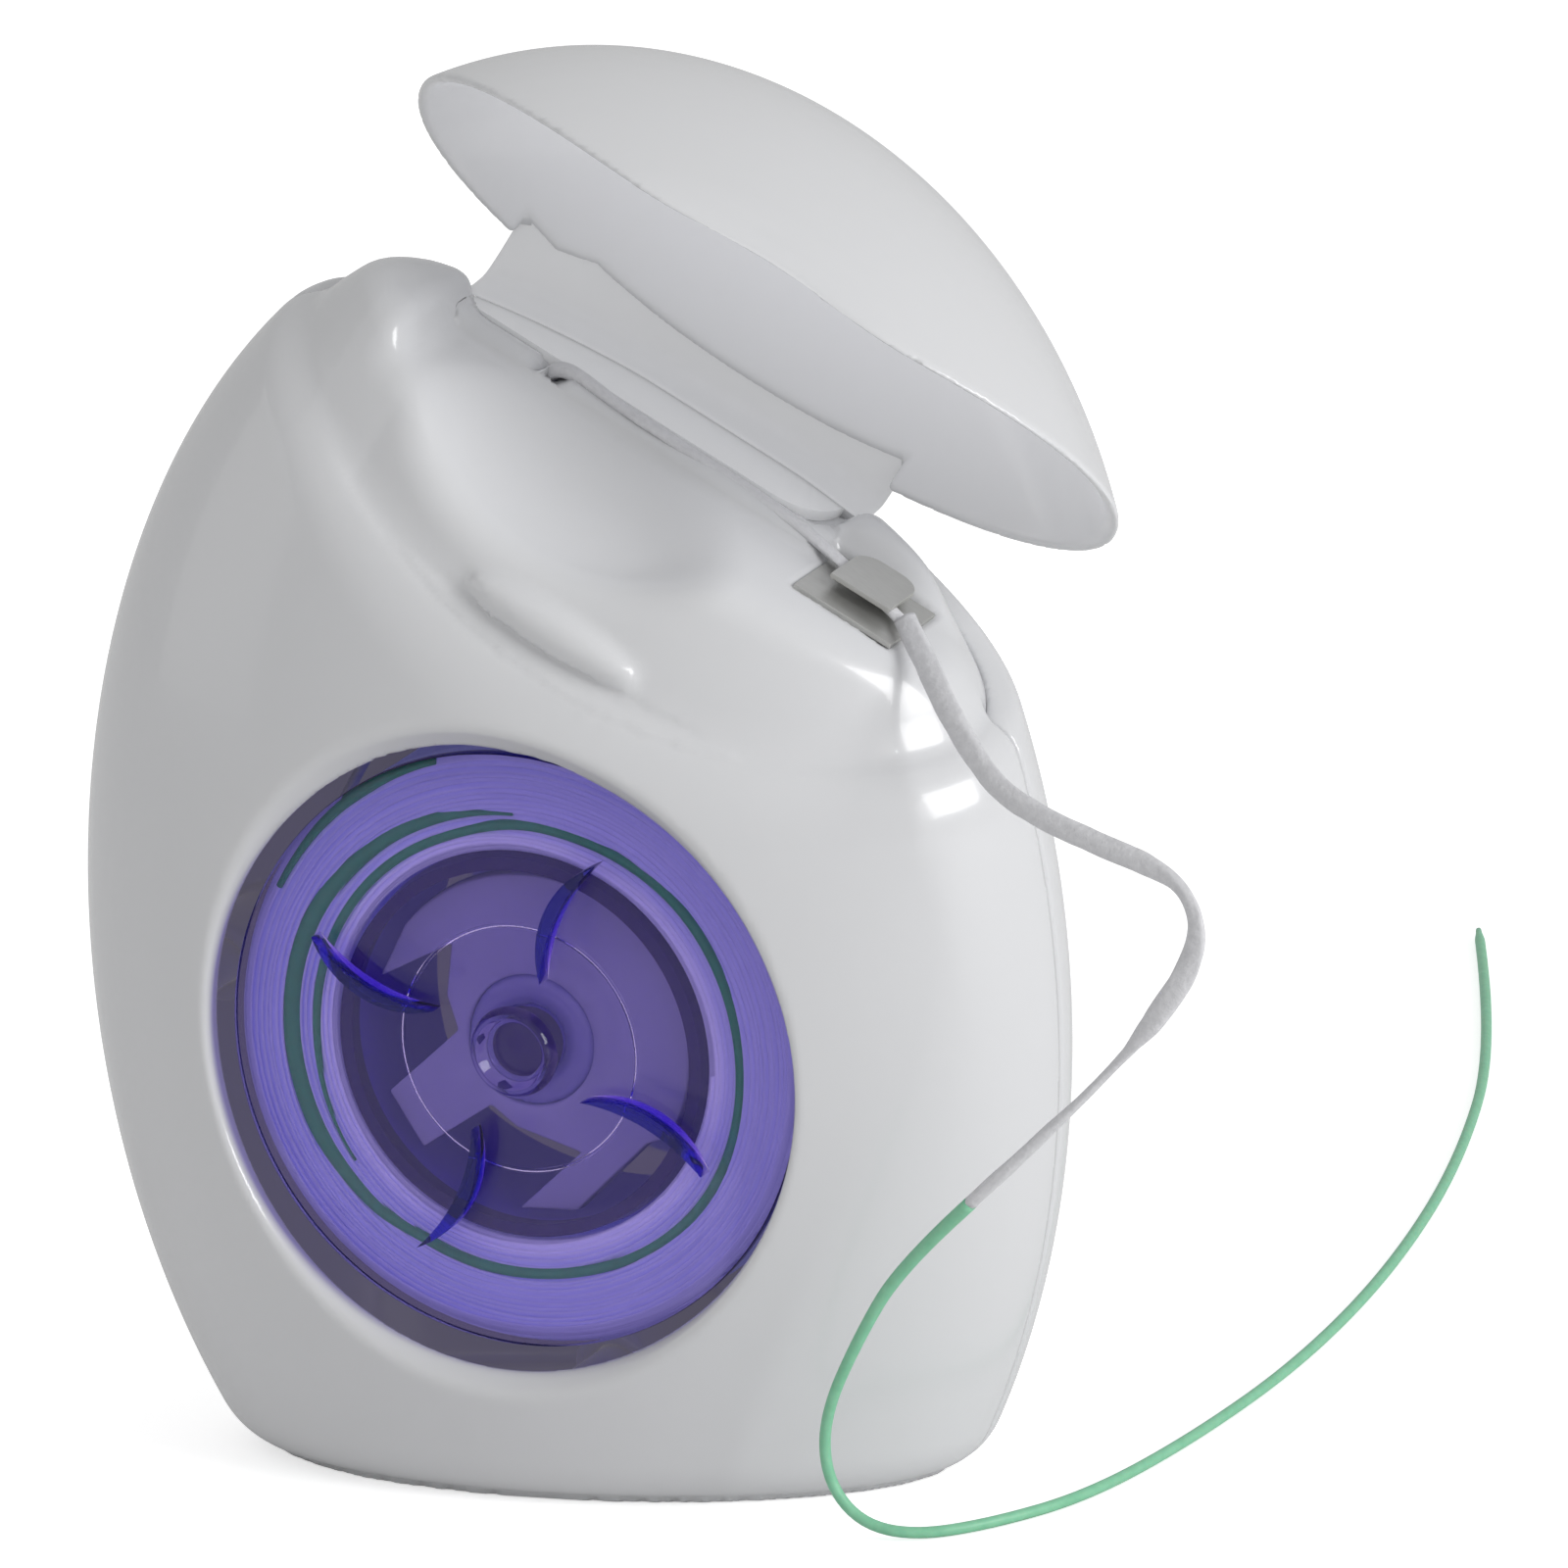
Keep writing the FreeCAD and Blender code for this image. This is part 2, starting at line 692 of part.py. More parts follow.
def biarc(start, tangent_start, end, tangent_end):
    # Two arcs that join two points along their tangents
    chord = end - start
    both = tangent_start + tangent_end
    a = 2 * (tangent_start.dot(tangent_end) - 1)
    b = -2 * chord.dot(both)
    c = chord.dot(chord)
    if abs(a) < 1e-9:
        reach_out = -c / b
    else:
        reach_out = (-b - math.sqrt(b * b - 4 * a * c)) / (2 * a)
        if reach_out < 0:
            reach_out = (-b + math.sqrt(b * b - 4 * a * c)) / (2 * a)
    joint = (start + tangent_start * reach_out + end - tangent_end * reach_out) / 2
    first, middle_tangent = arc_from(start, tangent_start, joint)
    second, _ = arc_from(joint, middle_tangent, end)
    return [first, second]


def tube(name, edges, diameter, start, tangent):
    path = Part.Wire(edges)
    circle = Part.Wire(Part.Circle(start, tangent, diameter / 2).toShape())
    pipe = Part.BRepOffsetAPI.MakePipeShell(path)
    pipe.add(circle)
    pipe.build()
    pipe.makeSolid()
    solid = pipe.shape()
    section = math.pi * diameter**2 / 4
    print(name, "length", round(path.Length, 2), "volume share",
          round(solid.Volume / (section * path.Length), 4))
    return feature(name, solid)


def turns(name, point_at, tangent_at, count, diameter):
    # A tube along quarter turns, with straight ends one diameter long
    places = [quarter / 4 for quarter in range(int(round(count * 4)) + 1)]
    points = [point_at(turn) for turn in places]
    tangents = [tangent_at(turn).normalize() for turn in places]
    first = points[0] - tangents[0] * diameter
    last = points[-1] + tangents[-1] * diameter
    edges = [Part.LineSegment(first, points[0]).toShape()]
    for number in range(len(points) - 1):
        edges += biarc(points[number], tangents[number], points[number + 1], tangents[number + 1])
    edges.append(Part.LineSegment(points[-1], last).toShape())
    return tube(name, edges, diameter, first, tangents[0])


def floss_core():
    face = size("threader_diameter") + 2 * size("threader_play")
    outside = drum("core_outside", "sizes.core_radius", f"{flange_rear} + {face}",
                   f"sizes.spool_length - 2 * sizes.flange_thickness - {face} - sizes.core_play")
    inside = drum("core_inside", "sizes.hub_radius + sizes.core_play", f"{flange_front}",
                  "2 * sizes.spool_length")
    return cut("core_drum", outside, inside)


def floss_winding():
    diameter = size("feed_diameter")
    pitch = diameter + size("turn_gap")
    radius = size("core_radius") + diameter / 2 + size("core_play")
    face = size("threader_diameter") + 2 * size("threader_play")
    front = (-size("window_rim") + size("flange_sunk") + size("flange_thickness")
             + face + diameter / 2)
    room = size("spool_length") - 2 * size("flange_thickness") - face - size("core_play")
    turn_count = int((room - diameter) / pitch)

    def point_at(turn):
        angle = 2 * math.pi * turn
        return Vector(radius * math.cos(angle), front + pitch * turn,
                      size("window_height") + radius * math.sin(angle))

    def tangent_at(turn):
        angle = 2 * math.pi * turn
        around = 2 * math.pi * radius
        return Vector(-around * math.sin(angle), pitch, around * math.cos(angle))

    samples = [point_at(step / 60) for step in range(60 * turn_count + 1)]
    gap = min(
        (a - b).Length - diameter
        for number, a in enumerate(samples)
        for b in samples[number + 30:]
    )
    print("winding least gap to itself", round(gap, 3))
    return turns("winding_tube", point_at, tangent_at, turn_count, diameter)


def threader_winding():
    diameter = size("threader_diameter")
    step_in = diameter + size("threader_turn_gap")
    outer = size("core_radius") - size("threader_inset")
    face = (-size("window_rim") + size("flange_sunk") + size("flange_thickness")
            + size("threader_play") + diameter / 2)
    start_turn = 0.25

    def point_at(turn):
        angle = 2 * math.pi * (turn + start_turn)
        radius = outer - step_in * turn
        return Vector(radius * math.cos(angle), face, size("window_height") + radius * math.sin(angle))

    def tangent_at(turn):
        angle = 2 * math.pi * (turn + start_turn)
        around = 2 * math.pi * (outer - step_in * turn)
        return Vector(-around * math.sin(angle) - step_in * math.cos(angle), 0,
                      around * math.cos(angle) - step_in * math.sin(angle))

    samples = [point_at(step / 60) for step in range(int(60 * size("threader_turns")) + 1)]
    gap = min(
        (a - b).Length - diameter
        for number, a in enumerate(samples)
        for b in samples[number + 30:]
    )
    print("threader turns least gap to themselves", round(gap, 3))
    return turns("threader_tube", point_at, tangent_at, round(4 * size("threader_turns")) / 4, diameter)


def cord(name, points, diameter):
    # Straight runs joined by arcs, each as large as its two runs allow
    edges = []
    radii = []
    place = points[0]
    for before, corner, after in zip(points, points[1:], points[2:]):
        arriving = corner - before
        going = after - corner
        turn = math.acos(max(-1, min(1, arriving.dot(going) / arriving.Length / going.Length)))
        setback = 0.45 * min(arriving.Length, going.Length)
        radius = setback / math.tan(turn / 2)
        radii.append(round(radius, 1))
        start = corner - Vector(arriving).normalize() * setback
        end = corner + Vector(going).normalize() * setback
        edges.append(Part.LineSegment(place, start).toShape())
        arc, _ = arc_from(start, Vector(arriving).normalize(), end)
        edges.append(arc)
        place = end
    edges.append(Part.LineSegment(place, points[-1]).toShape())
    print(name, "radii", radii)
    return tube(name, edges, diameter, points[0], (points[1] - points[0]).normalize())


# Routes of the floss, points chosen by hand
feed_in_case = [(-13.6, 1.4, 31.4), (-9.4, 2.0, 38.4), (-4.9, 2.5, 46.0)]
feed_on_deck = [
    (-1.2, 2.6, -3.2),
    (-1.15, 2.6, -0.9),
    (-1.1, 2.6, 0.6),
    (-0.2, 2.6, 1.35),
    (2.4, 2.6, 1.12),
    (7.0, 2.5, 1.06),
    (12.0, 2.4, 1.1),
    (16.4, 1.4, 1.12),
    (21.6, -1.0, 1.14),
]
strand_route = [
    (19.6, -1.3, 44.3),
    (22.2, -4.4, 42.8),
    (24.9, -7.2, 40.3),
    (28.3, -9.9, 38.2),
    (33.1, -11.9, 37.2),
    (37.5, -13.3, 36.5),
    (40.0, -14.2, 35.9),
    (41.3, -14.9, 34.5),
    (41.3, -15.4, 32.5),
    (39.7, -15.7, 30.2),
    (36.5, -15.6, 26.7),
    (32.1, -15.0, 22.8),
    (26.9, -14.0, 18.4),
]
threader_route = [
    (26.9, -14.0, 18.4),
    (22.48, -13.15, 14.66),
    (19.7, -12.8, 10.6),
    (17.4, -12.4, 6.4),
    (17.1, -12.0, 3.1),
    (18.6, -11.9, 0.9),
    (21.4, -11.8, 0.3),
    (24.5, -9.1, 0.3),
    (27.4, -3.6, 0.3),
    (28.6, 6.8, 0.3),
    (28.4, 20.1, 0.3),
    (26.2, 35.9, 0.3),
    (21.9, 53.7, 0.3),
    (15.0, 73.6, 0.3),
    (5.8, 92.6, 0.3),
]


def floss_feed():
    points = [Vector(*place) for place in feed_in_case]
    points += [lid_point(*place) for place in feed_on_deck]
    return cord("feed_cord", points, size("feed_diameter"))


def floss_strand():
    return cord("strand_cord", [Vector(*place) for place in strand_route], size("strand_diameter"))


def threader_strand():
    return cord("threader_cord", [Vector(*place) for place in threader_route],
                size("threader_diameter"))


# The pieces, each under the name of its node

blank = case_blank()
pieces = {
    "front_shell": front_shell(blank),
    "rear_shell": rear_shell(blank),
    "lid": lid(),
    "hinge_leaf": hinge_leaf(),
    "hinge_web": hinge_web(),
    "cutter": cutter(),
    "spool": spool(),
    "brake_spider": brake_spider(),
    "floss_core": floss_core(),
    "floss_winding": floss_winding(),
    "threader_winding": threader_winding(),
    "floss_feed": floss_feed(),
    "floss_strand": floss_strand(),
    "threader_strand": threader_strand(),
}
pieces["lid"].Placement = hinge_placement()
for node, piece in pieces.items():
    piece.Label = node
doc.recompute()

failed = [made.Name for made in doc.Objects if {"Invalid", "Error"} & set(made.State)]
if failed:
    raise RuntimeError(f"failed objects: {failed}")
for node, piece in pieces.items():
    shape = piece.Shape
    if shape.isNull() or not shape.isValid():
        raise RuntimeError(f"{node} has no valid shape")
    print(node, "solids", len(shape.Solids), "volume", round(shape.Volume, 2))

os.makedirs("parts", exist_ok=True)
for node, piece in pieces.items():
    piece.Shape.exportStep(f"parts/{node}.step")
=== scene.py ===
import bpy, bmesh
import numpy as np
from math import radians, pi, sin, cos, tan, sqrt, atan2, asin
from mathutils import Vector, Matrix, noise


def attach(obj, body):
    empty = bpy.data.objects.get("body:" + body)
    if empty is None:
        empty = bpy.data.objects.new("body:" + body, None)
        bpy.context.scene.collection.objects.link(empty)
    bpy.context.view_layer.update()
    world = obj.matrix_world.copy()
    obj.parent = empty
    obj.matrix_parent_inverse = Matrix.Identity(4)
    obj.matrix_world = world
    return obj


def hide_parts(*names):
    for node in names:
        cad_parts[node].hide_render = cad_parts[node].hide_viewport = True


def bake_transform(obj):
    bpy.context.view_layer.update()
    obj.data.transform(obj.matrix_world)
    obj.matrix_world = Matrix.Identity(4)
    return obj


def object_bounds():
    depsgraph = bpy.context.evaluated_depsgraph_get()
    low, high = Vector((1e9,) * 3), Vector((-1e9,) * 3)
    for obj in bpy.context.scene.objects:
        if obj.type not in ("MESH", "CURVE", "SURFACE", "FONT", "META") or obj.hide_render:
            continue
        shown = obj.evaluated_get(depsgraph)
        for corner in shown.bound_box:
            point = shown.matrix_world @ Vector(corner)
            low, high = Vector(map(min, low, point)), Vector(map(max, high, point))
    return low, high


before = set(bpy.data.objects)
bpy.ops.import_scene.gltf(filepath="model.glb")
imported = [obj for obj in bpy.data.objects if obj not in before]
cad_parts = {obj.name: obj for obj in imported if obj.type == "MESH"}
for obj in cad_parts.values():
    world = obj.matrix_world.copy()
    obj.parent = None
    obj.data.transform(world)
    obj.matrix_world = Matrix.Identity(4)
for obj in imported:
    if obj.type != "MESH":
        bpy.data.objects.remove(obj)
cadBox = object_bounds()
scene = bpy.context.scene
scene.view_settings.view_transform = "Standard"
mm = 0.001
print("frame loaded")


# Camera: the photograph's view, from the front, a little from the right and above
cameraSettings = {
    "azimuth": 25.08,
    "elevation": 15.80,
    "roll": 4.0,
    "distance": 3.0,
    "imageWidth": 0.07748,  # what the picture shows across at the aim point
    "aim": (0.01183, 0.0, 0.03504),
}


def addCamera(s):
    a = radians(s["azimuth"])
    e = radians(s["elevation"])
    t = radians(s["roll"])
    across = Vector((cos(a), sin(a), 0))
    upward = Vector((-sin(a) * sin(e), cos(a) * sin(e), cos(e)))
    right = across * cos(t) - upward * sin(t)
    up = upward * cos(t) + across * sin(t)
    back = right.cross(up)
    data = bpy.data.cameras.new("camera")
    data.sensor_width = 36
    data.lens = 36 * s["distance"] / s["imageWidth"]
    data.clip_end = 20
    camera = bpy.data.objects.new("camera", data)
    scene.collection.objects.link(camera)
    turn = Matrix((right, up, back)).transposed()
    camera.matrix_world = Matrix.Translation(Vector(s["aim"]) + back * s["distance"]) @ turn.to_4x4()
    scene.camera = camera


addCamera(cameraSettings)


# Shared helpers
def linkMesh(name, mesh, body, node):
    piece = bpy.data.objects.new(name, mesh)
    scene.collection.objects.link(piece)
    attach(piece, body)
    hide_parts(node)
    return piece


def meshFrom(bm, name, smooth=True):
    mesh = bpy.data.meshes.new(name)
    bm.normal_update()
    for face in bm.faces:
        face.smooth = smooth
    bm.to_mesh(mesh)
    bm.free()
    return mesh


def routeLine(points, perRun=14):
    # the line of a NURBS spline through its control points, as evenly read points
    curve = bpy.data.curves.new("route", "CURVE")
    curve.dimensions = "3D"
    curve.resolution_u = perRun
    spline = curve.splines.new("NURBS")
    spline.points.add(len(points) - 1)
    for point, place in zip(spline.points, points):
        point.co = (*place, 1)
    spline.order_u = 3
    spline.use_endpoint_u = True
    holder = bpy.data.objects.new("route", curve)
    scene.collection.objects.link(holder)
    mesh = bpy.data.meshes.new_from_object(holder.evaluated_get(bpy.context.evaluated_depsgraph_get()))
    line = [v.co.copy() for v in mesh.vertices]
    bpy.data.objects.remove(holder)
    bpy.data.meshes.remove(mesh)
    return line


def stationsOn(line, step):
    # the line again with even steps, and each point's distance from the start
    out, gone, carried = [(line[0].copy(), 0.0)], 0.0, step
    for a, b in zip(line, line[1:]):
        run = (b - a).length
        while carried <= gone + run:
            out.append((a.lerp(b, (carried - gone) / run), carried))
            carried += step
        gone += run
    if gone - out[-1][1] > step * 0.3:
        out.append((line[-1].copy(), gone))
    else:
        out[-1] = (line[-1].copy(), gone)
    return out


def between(stops, x):
    # a value read from (place, value) stops
    if x <= stops[0][0]:
        return stops[0][1]
    for (a, low), (b, high) in zip(stops, stops[1:]):
        if x <= b:
            t = (x - a) / (b - a)
            t = t * t * (3 - 2 * t)
            return low + (high - low) * t
    return stops[-1][1]


ridgeSettings = {"sway": 2.1, "waves": 40}


def sweepSection(name, line, step, section, firstSide=None):
    # a closed section of varying width, thickness and turn, pulled along a line
    stations = stationsOn(line, step)
    bm = bmesh.new()
    count = section["points"]
    ring = bmesh.ops.create_circle(bm, cap_ends=False, segments=count, radius=1.0)["verts"]
    angles = [2 * pi * i / count for i in range(count)]
    total = stations[-1][1]
    places = [p for p, gone in stations]
    tangents = []
    for i in range(len(places)):
        a = places[max(i - 1, 0)]
        b = places[min(i + 1, len(places) - 1)]
        tangents.append((b - a).normalized())
    side = Vector(firstSide) if firstSide else tangents[0].orthogonal()
    side = (side - tangents[0] * side.dot(tangents[0])).normalized()
    edges = list(bm.edges)
    for i, (place, gone) in enumerate(stations):
        if i:
            side = (tangents[i - 1].rotation_difference(tangents[i])).to_matrix() @ side
            side = (side - tangents[i] * side.dot(tangents[i])).normalized()
            made = bmesh.ops.extrude_edge_only(bm, edges=edges)["geom"]
            newVerts = [g for g in made if isinstance(g, bmesh.types.BMVert)]
            edges = [g for g in made if isinstance(g, bmesh.types.BMEdge) and g.verts[0] in newVerts
                     and g.verts[1] in newVerts]
            # keep the ring's order by nearest earlier point
            order = {}
            for vert in newVerts:
                for edge in vert.link_edges:
                    other = edge.other_vert(vert)
                    if other in ringIndex:
                        order[vert] = ringIndex[other]
            ring = sorted(newVerts, key=lambda v: order[v])
        ringIndex = {v: k for k, v in enumerate(ring)}
        share = gone / total
        turn = section["turn"](share)
        half = section["width"](share) / 2
        thick = section["thickness"](share) / 2
        normal = tangents[i].cross(side)
        sway = ridgeSettings["sway"] * sin(share * ridgeSettings["waves"])
        for vert, angle in zip(ring, angles):
            lobe = 1 + section.get("ridge", 0) * cos(angle * section.get("ridges", 1) + sway)
            x = cos(angle) * half * lobe
            y = sin(angle) * thick * lobe
            u = x * cos(turn) - y * sin(turn)
            v = x * sin(turn) + y * cos(turn)
            vert.co = place + side * u + normal * v
    bmesh.ops.holes_fill(bm, edges=[e for e in bm.edges if e.is_boundary], sides=0)
    bmesh.ops.recalc_face_normals(bm, faces=bm.faces)
    return meshFrom(bm, name), places


# The free strand: flat spongy floss, then its stiff green end
strandSettings = {
    "route": [
        (0.0196, -0.0013, 0.0443), (0.0222, -0.0044, 0.0428), (0.0249, -0.0072, 0.0403),
        (0.0283, -0.0099, 0.0381), (0.0330, -0.0119, 0.0370), (0.0372, -0.0133, 0.0362),
        (0.0395, -0.0142, 0.0355), (0.0406, -0.0149, 0.0341), (0.0406, -0.0154, 0.0323),
        (0.0392, -0.0157, 0.0300), (0.0362, -0.0156, 0.0266), (0.0320, -0.0150, 0.0228),
        (0.0269, -0.0140, 0.0184),
    ],
    "width": [(0.0, 1.15), (0.10, 1.25), (0.30, 1.15), (0.46, 1.15), (0.53, 0.8), (0.60, 1.25),
              (0.68, 1.2), (0.76, 0.55), (0.82, 0.85), (0.95, 0.8), (1.0, 0.7)],
    "thickness": [(0.0, 0.5), (0.5, 0.6), (0.7, 0.5), (0.78, 0.45), (0.9, 0.6), (1.0, 0.65)],
    "turn": [(0.0, 0.15), (0.25, 0.5), (0.45, 0.3), (0.55, 1.0), (0.65, 0.4), (0.80, 1.9), (1.0, 2.6)],
    "diameter": 0.0013, "step": 0.00022,
}
threaderSettings = {
    "route": [
        (0.0269, -0.0140, 0.0184), (0.02248, -0.01315, 0.01466), (0.0197, -0.0128, 0.0106),
        (0.0174, -0.0124, 0.0064), (0.0171, -0.0120, 0.0031), (0.0186, -0.0119, 0.0009),
        (0.0214, -0.0118, 0.0003), (0.0245, -0.0091, 0.0003), (0.0274, -0.0036, 0.0003),
        (0.0286, 0.0068, 0.0003), (0.0286, 0.0202, 0.0003), (0.0266, 0.0361, 0.0003),
        (0.0225, 0.0540, 0.0003), (0.0158, 0.0740, 0.0003), (0.0067, 0.0930, 0.0003),
    ],
    "width": [(0.0, 0.72), (0.04, 0.68), (0.12, 0.58), (0.9, 0.55), (0.985, 0.52), (1.0, 0.3)],
    "diameter": 0.00058, "step": 0.0004,
}


def flossStrand(s):
    line = routeLine(s["route"])
    section = {
        "points": 20, "ridge": 0.05, "ridges": 5,
        "turn": lambda x: between(s["turn"], x),
        "width": lambda x: between(s["width"], x) * mm,
        "thickness": lambda x: between(s["thickness"], x) * mm,
    }
    mesh, path = sweepSection("flossStrand", line, s["step"], section, (1, 0.2, 0.2))
    piece = linkMesh("flossStrand", mesh, "case", "floss_strand")
    return piece


def threaderStrand(s):
    line = routeLine(s["route"])
    section = {
        "points": 10,
        "turn": lambda x: 0.0,
        "width": lambda x: between(s["width"], x) * mm,
        "thickness": lambda x: between(s["width"], x) * mm,
    }
    mesh, path = sweepSection("threaderStrand", line, s["step"], section)
    piece = linkMesh("threaderStrand", mesh, "case", "threader_strand")
    return piece


threader = threaderStrand(threaderSettings)
strand = flossStrand(strandSettings)
print("cords laid")


# Smooth fields of the case, in millimetres, negative inside
eggSettings = {
    "halfWidth": 26.0, "halfDepth": 13.0, "halfHeight": 38.4, "centreHeight": 25.6,
    "wall": 1.6, "baseRound": 2.4,
}
partingSettings = {
    "tilt": 29.7, "height": 53.8, "slope": 12.7, "arc": 20.0, "gap": 0.35, "drop": 1.3,
    "steepest": 0.93,  # the sine of the surface's greatest slope at the front
}
deckSettings = {
    "up": 0.6, "collarUp": 2.4, "wall": 1.4, "ledge": 2.6, "underInset": 3.0,
    "collarInset": 1.5, "leftInset": 0.85, "leftOf": -5.0,
    "round": 2.2, "rearRound": 1.0, "wellRound": 1.6, "wellCorner": 1.0, "foot": 0.9,
    "rimRound": 1.5, "rearRimRound": 0.5, "fade": 4.0, "edge": 0.3, "seam": 0.25, "seatEdge": 0.4,
    "bankFront": 1.3, "bankUp": 1.2,
    "scoopAcross": 4.3, "scoopFront": -8.0, "scoopUp": 2.5,
    "scoopHalfWidth": 9.0, "scoopHalfDepth": 9.6, "scoopHalfHeight": 5.7, "scoopRound": 2.0,
    "beadAcross": 7.9, "beadUp": -5.3, "beadHalf": (4.7, 0.9, 1.0), "beadPlay": 0.2, "beadFoot": 0.8,
    "guide": (-0.9, 2.6, 0.5), "guideReach": 6.0,  # across, back and radius
    "cutter": (19.2, -0.2, 5.8, 5.5, 0.25), "cutterPlay": 0.1, "cutterEdge": 0.12,
}
windowSettings = {
    "radius": 15.83, "height": 23.0, "rim": -10.2, "deep": 2.6, "run": 2.8, "round": 0.4,
    "corner": 0.5, "behind": 3.0, "away": 10.0,
}
hingeSettings = {
    "left": -3.8, "right": 15.4, "seatLeft": -6.6, "roomLeft": -6.8,
    "front": 3.1, "back": 9.1, "up": 1.97, "slope": 50.0,
    "open": 67.0, "play": 0.05, "web": 0.25,
}
lidSettings = {
    "wall": 1.2, "rimWall": 0.55, "rimReach": 12.0, "play": 0.3, "overTongue": 1.5,
    "rimRound": 0.45, "flatRound": 0.5, "innerRound": 0.35, "beadRound": 0.3, "roomRound": 0.4,
    "notchAcross": 5.0, "notchWidth": 26.0, "notchDepth": 0.4, "notchRound": 0.6,
    # the rear wall beside the bending strip: left, right, low and high
    "heel": (-7.5, -3.9, 1.6, 3.6), "heelStep": 0.35, "heelSize": 0.9,
}

tilt = radians(partingSettings["tilt"])
alongHinge = np.array((cos(tilt), 0.0, -sin(tilt)))
upFromDeck = np.array((sin(tilt), 0.0, cos(tilt)))


def softMin(a, b, k):
    h = np.clip(0.5 + 0.5 * (b - a) / k, 0, 1)
    return b + (a - b) * h - k * h * (1 - h)


def softMax(a, b, k):
    return -softMin(-a, -b, k)


def deckFrame(p):
    q = p - np.array((0.0, 0.0, partingSettings["height"]))
    return q @ alongHinge, p[:, 1], q @ upFromDeck


def egg(p, inset):
    s = eggSettings
    half = np.array((s["halfWidth"], s["halfDepth"], s["halfHeight"])) - np.reshape(inset, (-1, 1))
    q = (p - np.array((0, 0, s["centreHeight"]))) / half
    k = np.linalg.norm(q, axis=1) + 1e-9
    g = np.linalg.norm(q / half, axis=1) + 1e-9
    return k * (k - 1) / g


def rearOfEgg(across, up, inset=0.0):
    # how far back the egg's surface stands at a place along and above the deck
    e = eggSettings
    place = across * alongHinge + up * upFromDeck
    z = place[2] + partingSettings["height"]
    sideways = place[0] / (e["halfWidth"] - inset)
    upright = (z - e["centreHeight"]) / (e["halfHeight"] - inset)
    q = 1 - sideways ** 2 - upright ** 2
    return (e["halfDepth"] - inset) * sqrt(max(q, 0.0))


def blob(x, y, z, half):
    q = np.stack((x, y, z), axis=1)
    half = np.array(half, float)
    k = np.linalg.norm(q / half, axis=1) + 1e-9
    g = np.linalg.norm(q / half ** 2, axis=1) + 1e-9
    return k * (k - 1) / g


def partingField(p, raised=0.0):
    # positive above the slanted surface where lid and case part
    s = partingSettings
    _, back, up = deckFrame(p)
    slope, r = radians(s["slope"]), s["arc"]
    lean = np.clip((r * sin(slope) - back) / r, sin(slope), s["steepest"])
    angle = np.arcsin(lean)
    front = r * np.cos(angle) - r * cos(slope)
    rear = back * tan(slope)
    surface = np.where(back > 0, rear, front)
    return (up - raised + s["drop"] - surface) * np.cos(angle)


def outerForm(p):
    return softMax(egg(p, 0.0), -p[:, 2], eggSettings["baseRound"])


def caseWalls(p):
    e, s = eggSettings, deckSettings
    hollow = np.maximum(egg(p, e["wall"]), e["wall"] - p[:, 2])
    front = np.clip(0.5 - p[:, 1] / s["fade"], 0, 1)
    rounding = s["rearRimRound"] + (s["rimRound"] - s["rearRimRound"]) * front
    return softMax(softMax(outerForm(p), -hollow, s["edge"]), partingField(p), rounding)


def beadField(p, grown):
    s = deckSettings
    across, back, up = deckFrame(p)
    front = -rearOfEgg(s["beadAcross"], s["beadUp"], s["collarInset"])
    a, b, c = s["beadHalf"]
    return blob(across - s["beadAcross"], back - front, up - s["beadUp"], (a + grown, b + grown, c + grown))


def deckField(p):
    s = deckSettings
    across, back, up = deckFrame(p)
    left = np.clip((s["leftOf"] - across) / s["fade"], 0, 1)
    collar = egg(p, s["collarInset"] + (s["leftInset"] - s["collarInset"]) * left)
    scoop = blob(across - s["scoopAcross"], back - s["scoopFront"], up - s["scoopUp"],
                 (s["scoopHalfWidth"], s["scoopHalfDepth"], s["scoopHalfHeight"]))
    front = np.clip(0.5 - back / s["fade"], 0, 1) * (1 - left)
    rounding = s["rearRound"] + (s["round"] - s["rearRound"]) * front
    block = softMax(collar, up - s["collarUp"], rounding)
    h = hingeSettings
    rear = softMin(across - h["right"], back - h["front"], s["wellCorner"])
    well = softMax(softMax(s["up"] - up, h["seatLeft"] - across, s["wellRound"]), rear, s["wellRound"])
    block = softMax(block, -well, s["wellRound"])
    bank = np.maximum(np.maximum(h["seatLeft"] - across, across - h["right"]),
                      np.maximum(s["bankFront"] - back, back - h["front"]))
    bank = np.maximum(np.maximum(bank, up - s["bankUp"]), -up)
    block = softMin(block, bank, s["foot"])
    block = softMax(block, -scoop, s["scoopRound"])
    block = np.maximum(block, -partingField(p) - s["ledge"])
    w = s["wall"]
    under = np.maximum(egg(p, s["underInset"]), up - s["up"] + w)
    grown = blob(across - s["scoopAcross"], back - s["scoopFront"], up - s["scoopUp"],
                 (s["scoopHalfWidth"] + w, s["scoopHalfDepth"] + w, s["scoopHalfHeight"] + w))
    return np.maximum(block, -np.maximum(under, -grown))


def windowField(p):
    s = windowSettings
    out = np.hypot(p[:, 0], p[:, 2] - s["height"])
    lean = atan2(s["run"], s["deep"])
    tube = out - s["radius"]
    cone = (out - s["radius"] - (s["rim"] - p[:, 1]) * tan(lean)) * cos(lean)
    return np.where(p[:, 1] < s["behind"], softMin(tube, cone, s["corner"]), s["away"])


